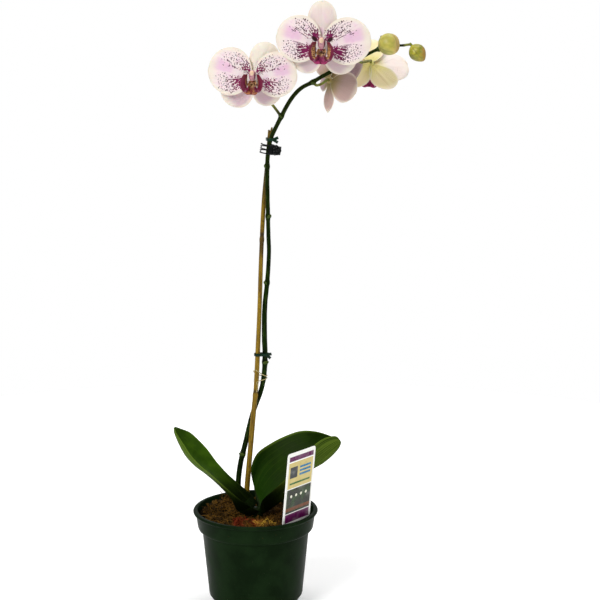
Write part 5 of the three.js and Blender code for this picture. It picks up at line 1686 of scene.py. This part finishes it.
# Claw clip
# A small claw clip in black plastic closes round stem and cane below the arch. Two combed jaws turn on a
# steel pin, a wound spring holds them shut, and the front one carries a flower-shaped button.
CLIP = {"hinge": (22.1, 3.4, 480), "tilt": 9, "height": 10, "radius": 7.1, "thickness": 1.2, "reach": 8.3}
JAW_BACK = (84, 24, 16)
TOOTH = (80, 202, 26)
TOOTH_HALF = 0.6
BEAD_RADIUS = 0.75
THUMB_PLATE = [(-1.5, 2.65), (0.2, 2.95), (1.9, 3.2), (3.6, 3.95), (5.1, 4.6)]
THUMB_HALF = 0.58
JAW_ARM = [(-0.9, 1.35), (-1.7, 2.5), (-2.1, 3.0)]
ARM_HALF = 0.7
PIN_RADIUS = 0.7
PIN_PROFILE = [(0, -5.6), (PIN_RADIUS, -5.6), (PIN_RADIUS, 5.6), (0, 5.6)]
PIN_CORNER = 0.25
BARREL_RADIUS = 1.9
BARREL_CORNER = 0.2
BARREL_SIDES = 32
CLIP_CLEARANCE = 0.35
SPRING = {"radius": 1.5, "wire": 0.3, "half": 0.95, "turns": 3}
BUTTON_SHAPE = [(0.9, 0.7), (1.0, 0.5), (1.0, -0.2), (0.93, -0.55), (0.78, -0.8), (0.55, -0.85), (0.3, -0.8)]
BUTTON_RADIUS = 3.65
BUTTON_TURN = 2 * math.pi * 0.2 / 5
CLIP_BLACK = colour(14, 18, 17)
CLIP_DEEP = colour(8, 10, 11)
STEEL_LIGHT = colour(176, 178, 180)
STEEL_DARK = colour(120, 122, 126)
tilt = math.radians(CLIP["tilt"])
clip_turn = np.array([[math.cos(tilt), 0, math.sin(tilt)], [0, 1, 0], [-math.sin(tilt), 0, math.cos(tilt)]])


def on_clip(part, finish):
    return {**placed(part, clip_turn, np.array(CLIP["hinge"], float)), "finish": finish}


def flat_bar(path, half_thick, low, high, corner=0.5):
    """A bar along a path in the clip's own plane, upright from low to high"""
    path = np.column_stack([path, np.full(len(path), (low + high) / 2)])
    way = unit(np.gradient(path, axis=0))
    tops = np.tile((0, 0, 1.0), (len(path), 1))
    return swept(path, np.cross(way, tops) * -1, -tops, half_thick, (high - low) / 2, corner)


def jaw_arc(start, end, count):
    """A stretch of a jaw's curve between two angles, as that many points"""
    angle = np.radians(np.linspace(start, end, count))
    return np.column_stack([CLIP["radius"] * np.cos(angle) - CLIP["reach"], CLIP["radius"] * np.sin(angle)])


def knuckle(low, high):
    """One turn of the hinge, a ring round the pin"""
    bore, inner = PIN_RADIUS + CLIP_CLEARANCE, BARREL_RADIUS - BARREL_CORNER
    section = [(bore, low), (inner, low), (BARREL_RADIUS, low + BARREL_CORNER),
               (BARREL_RADIUS, high - BARREL_CORNER), (inner, high), (bore, high)]
    points = [(r * math.cos(a), r * math.sin(a), z) for a in all_round(BARREL_SIDES) for r, z in section]
    faces = wall_faces(BARREL_SIDES, len(section), closed=True)[:, [0, 3, 2, 1]]
    return {"points": np.array(points), "faces": faces.tolist(), "place": np.zeros((len(points), 3))}


def jaw_parts(side, tooth_heights, knuckles):
    """One jaw on its side of the hinge: a curved back, teeth with beaded tips, a thumb plate and knuckles"""
    half, thick = CLIP["height"] / 2, CLIP["thickness"] / 2
    parts = [flat_bar(jaw_arc(*JAW_BACK) * (1, side), thick, -half, half)]
    plate = through(THUMB_PLATE)(np.linspace(0, 1, 14))
    parts.append(flat_bar(plate * (1, side), THUMB_HALF, 1 - half, half - 1))
    for height in tooth_heights:
        tooth = jaw_arc(*TOOTH) * (1, side)
        parts.append(flat_bar(tooth, thick, height - TOOTH_HALF, height + TOOTH_HALF, 0.8))
        parts.append(ball((*tooth[-1], height), (BEAD_RADIUS, BEAD_RADIUS, BEAD_RADIUS), None))
    for low, high in knuckles:
        parts += [flat_bar(np.array(JAW_ARM) * (1, side), ARM_HALF, low, high), knuckle(low, high)]
    return parts


def flower_button():
    """A domed disc with five round lobes, grooved between them"""
    turn = all_round(100)
    petal = np.abs(np.cos(2.5 * (turn - BUTTON_TURN)))
    lobes = BUTTON_RADIUS + petal ** 0.7
    grooves = 0.35 * (1 - petal) ** 3
    rings = [np.column_stack([share * lobes * np.cos(turn), depth + grooves * (depth < 0),
                              share * lobes * np.sin(turn)]) for share, depth in BUTTON_SHAPE]
    return lofted(rings, [(0, 0.7, 0), (0, -0.8, 0)])


def steel_finish():
    material, tree = new_finish("clip_steel", Metallic=1.0)
    drawn = cloud(tree, own_place(tree), 2200, 2)
    dress(tree, Base_Color=tint(tree, drawn, STEEL_DARK, STEEL_LIGHT),
          Roughness=fade(tree, drawn, 0.3, 0.7, 0.22, 0.4))
    return material


def wire_radius(s, angle):
    return SPRING["wire"] + 0 * s * angle


CLIP_WEAR = {"Colour": CLIP_BLACK, "Deep": CLIP_DEEP, "Dust": 0.15, "Roughness": 0.32}
CLIP_FINISH = plastic("clip_plastic", CLIP_WEAR, 0.00004, Specular_IOR_Level=0.15)
STEEL_FINISH = steel_finish()
back_jaw = jaw_parts(1, [-2, 2], [(1.6, 3.1), (-3.1, -1.6)])
front_jaw = jaw_parts(-1, [-4.2, 0, 4.2], [(3.4, 5), (-5, -3.4)])
button = flower_button()
button["points"] += (1.2, -4.9, 0)
front_jaw += [button, ball((1.2, -5.6, 0), (1.5, 1.3, 1.5), None)]
coil = np.linspace(0, 1, 31) * (2 * math.pi * SPRING["turns"]) - math.radians(150)
coil = np.column_stack([SPRING["radius"] * np.cos(coil), SPRING["radius"] * np.sin(coil),
                        np.linspace(-SPRING["half"], SPRING["half"], 31)])
spring = lofted(tube_rings(coil, wire_radius, 160, 10))
pin = turned(rounded(PIN_PROFILE, PIN_CORNER), 24)
for name, parts, finish, slot, node, body in (
        ("clip_back_jaw", back_jaw, CLIP_FINISH, "clip_plastic", "clip_jaw_back", "plant"),
        ("clip_front_jaw", front_jaw, CLIP_FINISH, "clip_plastic", "clip_jaw_front", "clip_jaw"),
        ("clip_hinge_pin", [pin], STEEL_FINISH, "clip_steel", "clip_pin", "plant"),
        ("clip_coil", [spring], STEEL_FINISH, "clip_steel", "clip_spring", "plant")):
    stands_for(build(name, [on_clip(part, finish) for part in parts]), node, body=body)

# Label
# A white plastic card on a pointed foot is pushed in beside the rim. A tan panel on it holds a grey square
# with three blue bars beside it and a green bar below. Under that a dark picture has a row of four pale discs
# over a brown strip. A purple band closes the panel at its top and the picture at its foot.
LABEL = {"width": 45, "height": 74.5, "foot": 36, "thickness": 0.8, "corner": 2.5, "bevel": 0.15,
         "middle": 20}
LABEL_PLACE = (42.6, -32.4, 104.5)
LABEL_ACROSS = (0.62, 0.785, 0)
LABEL_UP = (0.083, -0.0656, 1)
CARD_WHITE = colour(243, 243, 238)
CARD_GREY = colour(214, 216, 208)
PANEL_TAN = colour(206, 188, 118)
BAND_PURPLE = colour(92, 18, 76)
SQUARE_GREY = colour(52, 56, 58)
BAR_BLUE = colour(48, 118, 158)
BAR_GREEN = colour(58, 104, 44)
PICTURE_DARK = colour(34, 38, 26)
PICTURE_GREEN = colour(44, 70, 30)
PICTURE_BROWN = colour(110, 60, 24)
PICTURE_PALE = colour(226, 226, 206)


def card_outline():
    half, corner, top = LABEL["width"] / 2, LABEL["corner"], LABEL["height"]
    right = [(4, -LABEL["foot"]), (9, -16), (half, -3)]
    turn = np.linspace(0, np.pi / 2, 9)
    right += [(half - corner + corner * math.cos(a), top - corner + corner * math.sin(a)) for a in turn]
    return np.array(right + [(-x, z) for x, z in reversed(right)])


def card_body(finish):
    """The card, its printed face towards the room and its edges a little bevelled"""
    outline, middle = card_outline(), LABEL["middle"]
    half, bevel = LABEL["thickness"] / 2, LABEL["bevel"]
    inset = outline - unit(outline - (0, middle)) * bevel
    depths = [(inset, half), (outline, half - bevel), (outline, bevel - half), (inset, -half)]
    rings = [np.column_stack([shape[:, 0], np.full(len(shape), y), shape[:, 1]]) for shape, y in depths]
    body = lofted(rings, [(0, half, middle), (0, -half, middle)])
    across, up = unit(LABEL_ACROSS), unit(LABEL_UP)
    axes = np.column_stack([across, np.cross(up, across), up])
    return {**placed(body, axes, np.array(LABEL_PLACE)), "place": body["points"], "finish": finish}


def print_mask(kind):
    """Where one printed shape lies on the card: an oblong, or a disc when it is round"""
    inputs = {"Card": Vector((0, 0, 0)), "Middle": Vector((0, 0, 0)), "Half": Vector((1, 1, 1))}
    group, given, out = new_effect("print_" + kind, inputs, {"Inside": "Float"})
    away = vector_calc(group, "SUBTRACT", given["Card"], given["Middle"])
    share = vector_calc(group, "DIVIDE", away, given["Half"])
    if kind == "disc":
        length = vector_calc(group, "LENGTH", share)
    else:
        x, _, z = split(group, vector_calc(group, "ABSOLUTE", share))
        length = larger(group, x, z)
    group.links.new(fade(group, length, 0.985, 1.015, 1.0, 0.0), out["Inside"])
    return group


def label_finish():
    """Each print is its ink and its shape, with its middle and half its width and height on the card"""
    material, tree = new_finish("label_card", Specular_IOR_Level=0.25)
    _, x, depth, z = read_mark(tree)
    flat = joined(tree, x, 0.0, z)
    oblong, disc = print_mask("oblong"), print_mask("disc")
    grain = cloud(tree, own_place(tree), 90, 4)
    scenery = tint(tree, fade(tree, cloud(tree, flat, 0.09, 4), 0.42, 0.66), PICTURE_DARK, PICTURE_GREEN)
    prints = [
        (PANEL_TAN, oblong, (0, 50), (19.6, 14)),
        (BAND_PURPLE, oblong, (0, 68), (19.6, 2.6)),
        (SQUARE_GREY, oblong, (-11, 53), (6, 6)),
        *[(BAR_BLUE, oblong, (7.5, 57 - 4 * i), (9, 1.2)) for i in range(3)],
        (BAR_GREEN, oblong, (0, 41), (16.5, 1.0)),
        (scenery, oblong, (0, 22), (19.6, 13)),
        (PICTURE_BROWN, oblong, (0, 13), (19.6, 1.8)),
        *[(PICTURE_PALE, disc, (8 * i - 12, 27), (1.6, 1.6)) for i in range(4)],
        (BAND_PURPLE, oblong, (0, 3.5), (19.6, 4.6)),
    ]
    face = CARD_WHITE
    for ink, shape, (across, up), (wide, tall) in prints:
        inside = use_effect(tree, shape, Card=flat, Middle=(across, 0, up), Half=(wide, 1, tall))
        face = tint(tree, inside["Inside"], face, ink)
    fronted = tint(tree, fade(tree, depth, -0.35, -0.2, 1.0, 0.0), CARD_WHITE, face)
    dress(tree, Base_Color=tint(tree, fade(tree, grain, 0.5, 0.8, 0.0, 0.25), fronted, CARD_GREY),
          Roughness=fade(tree, grain, 0.3, 0.7, 0.24, 0.36))
    return material


stands_for(build("label_card", [card_body(label_finish())], 30), "plant_label")
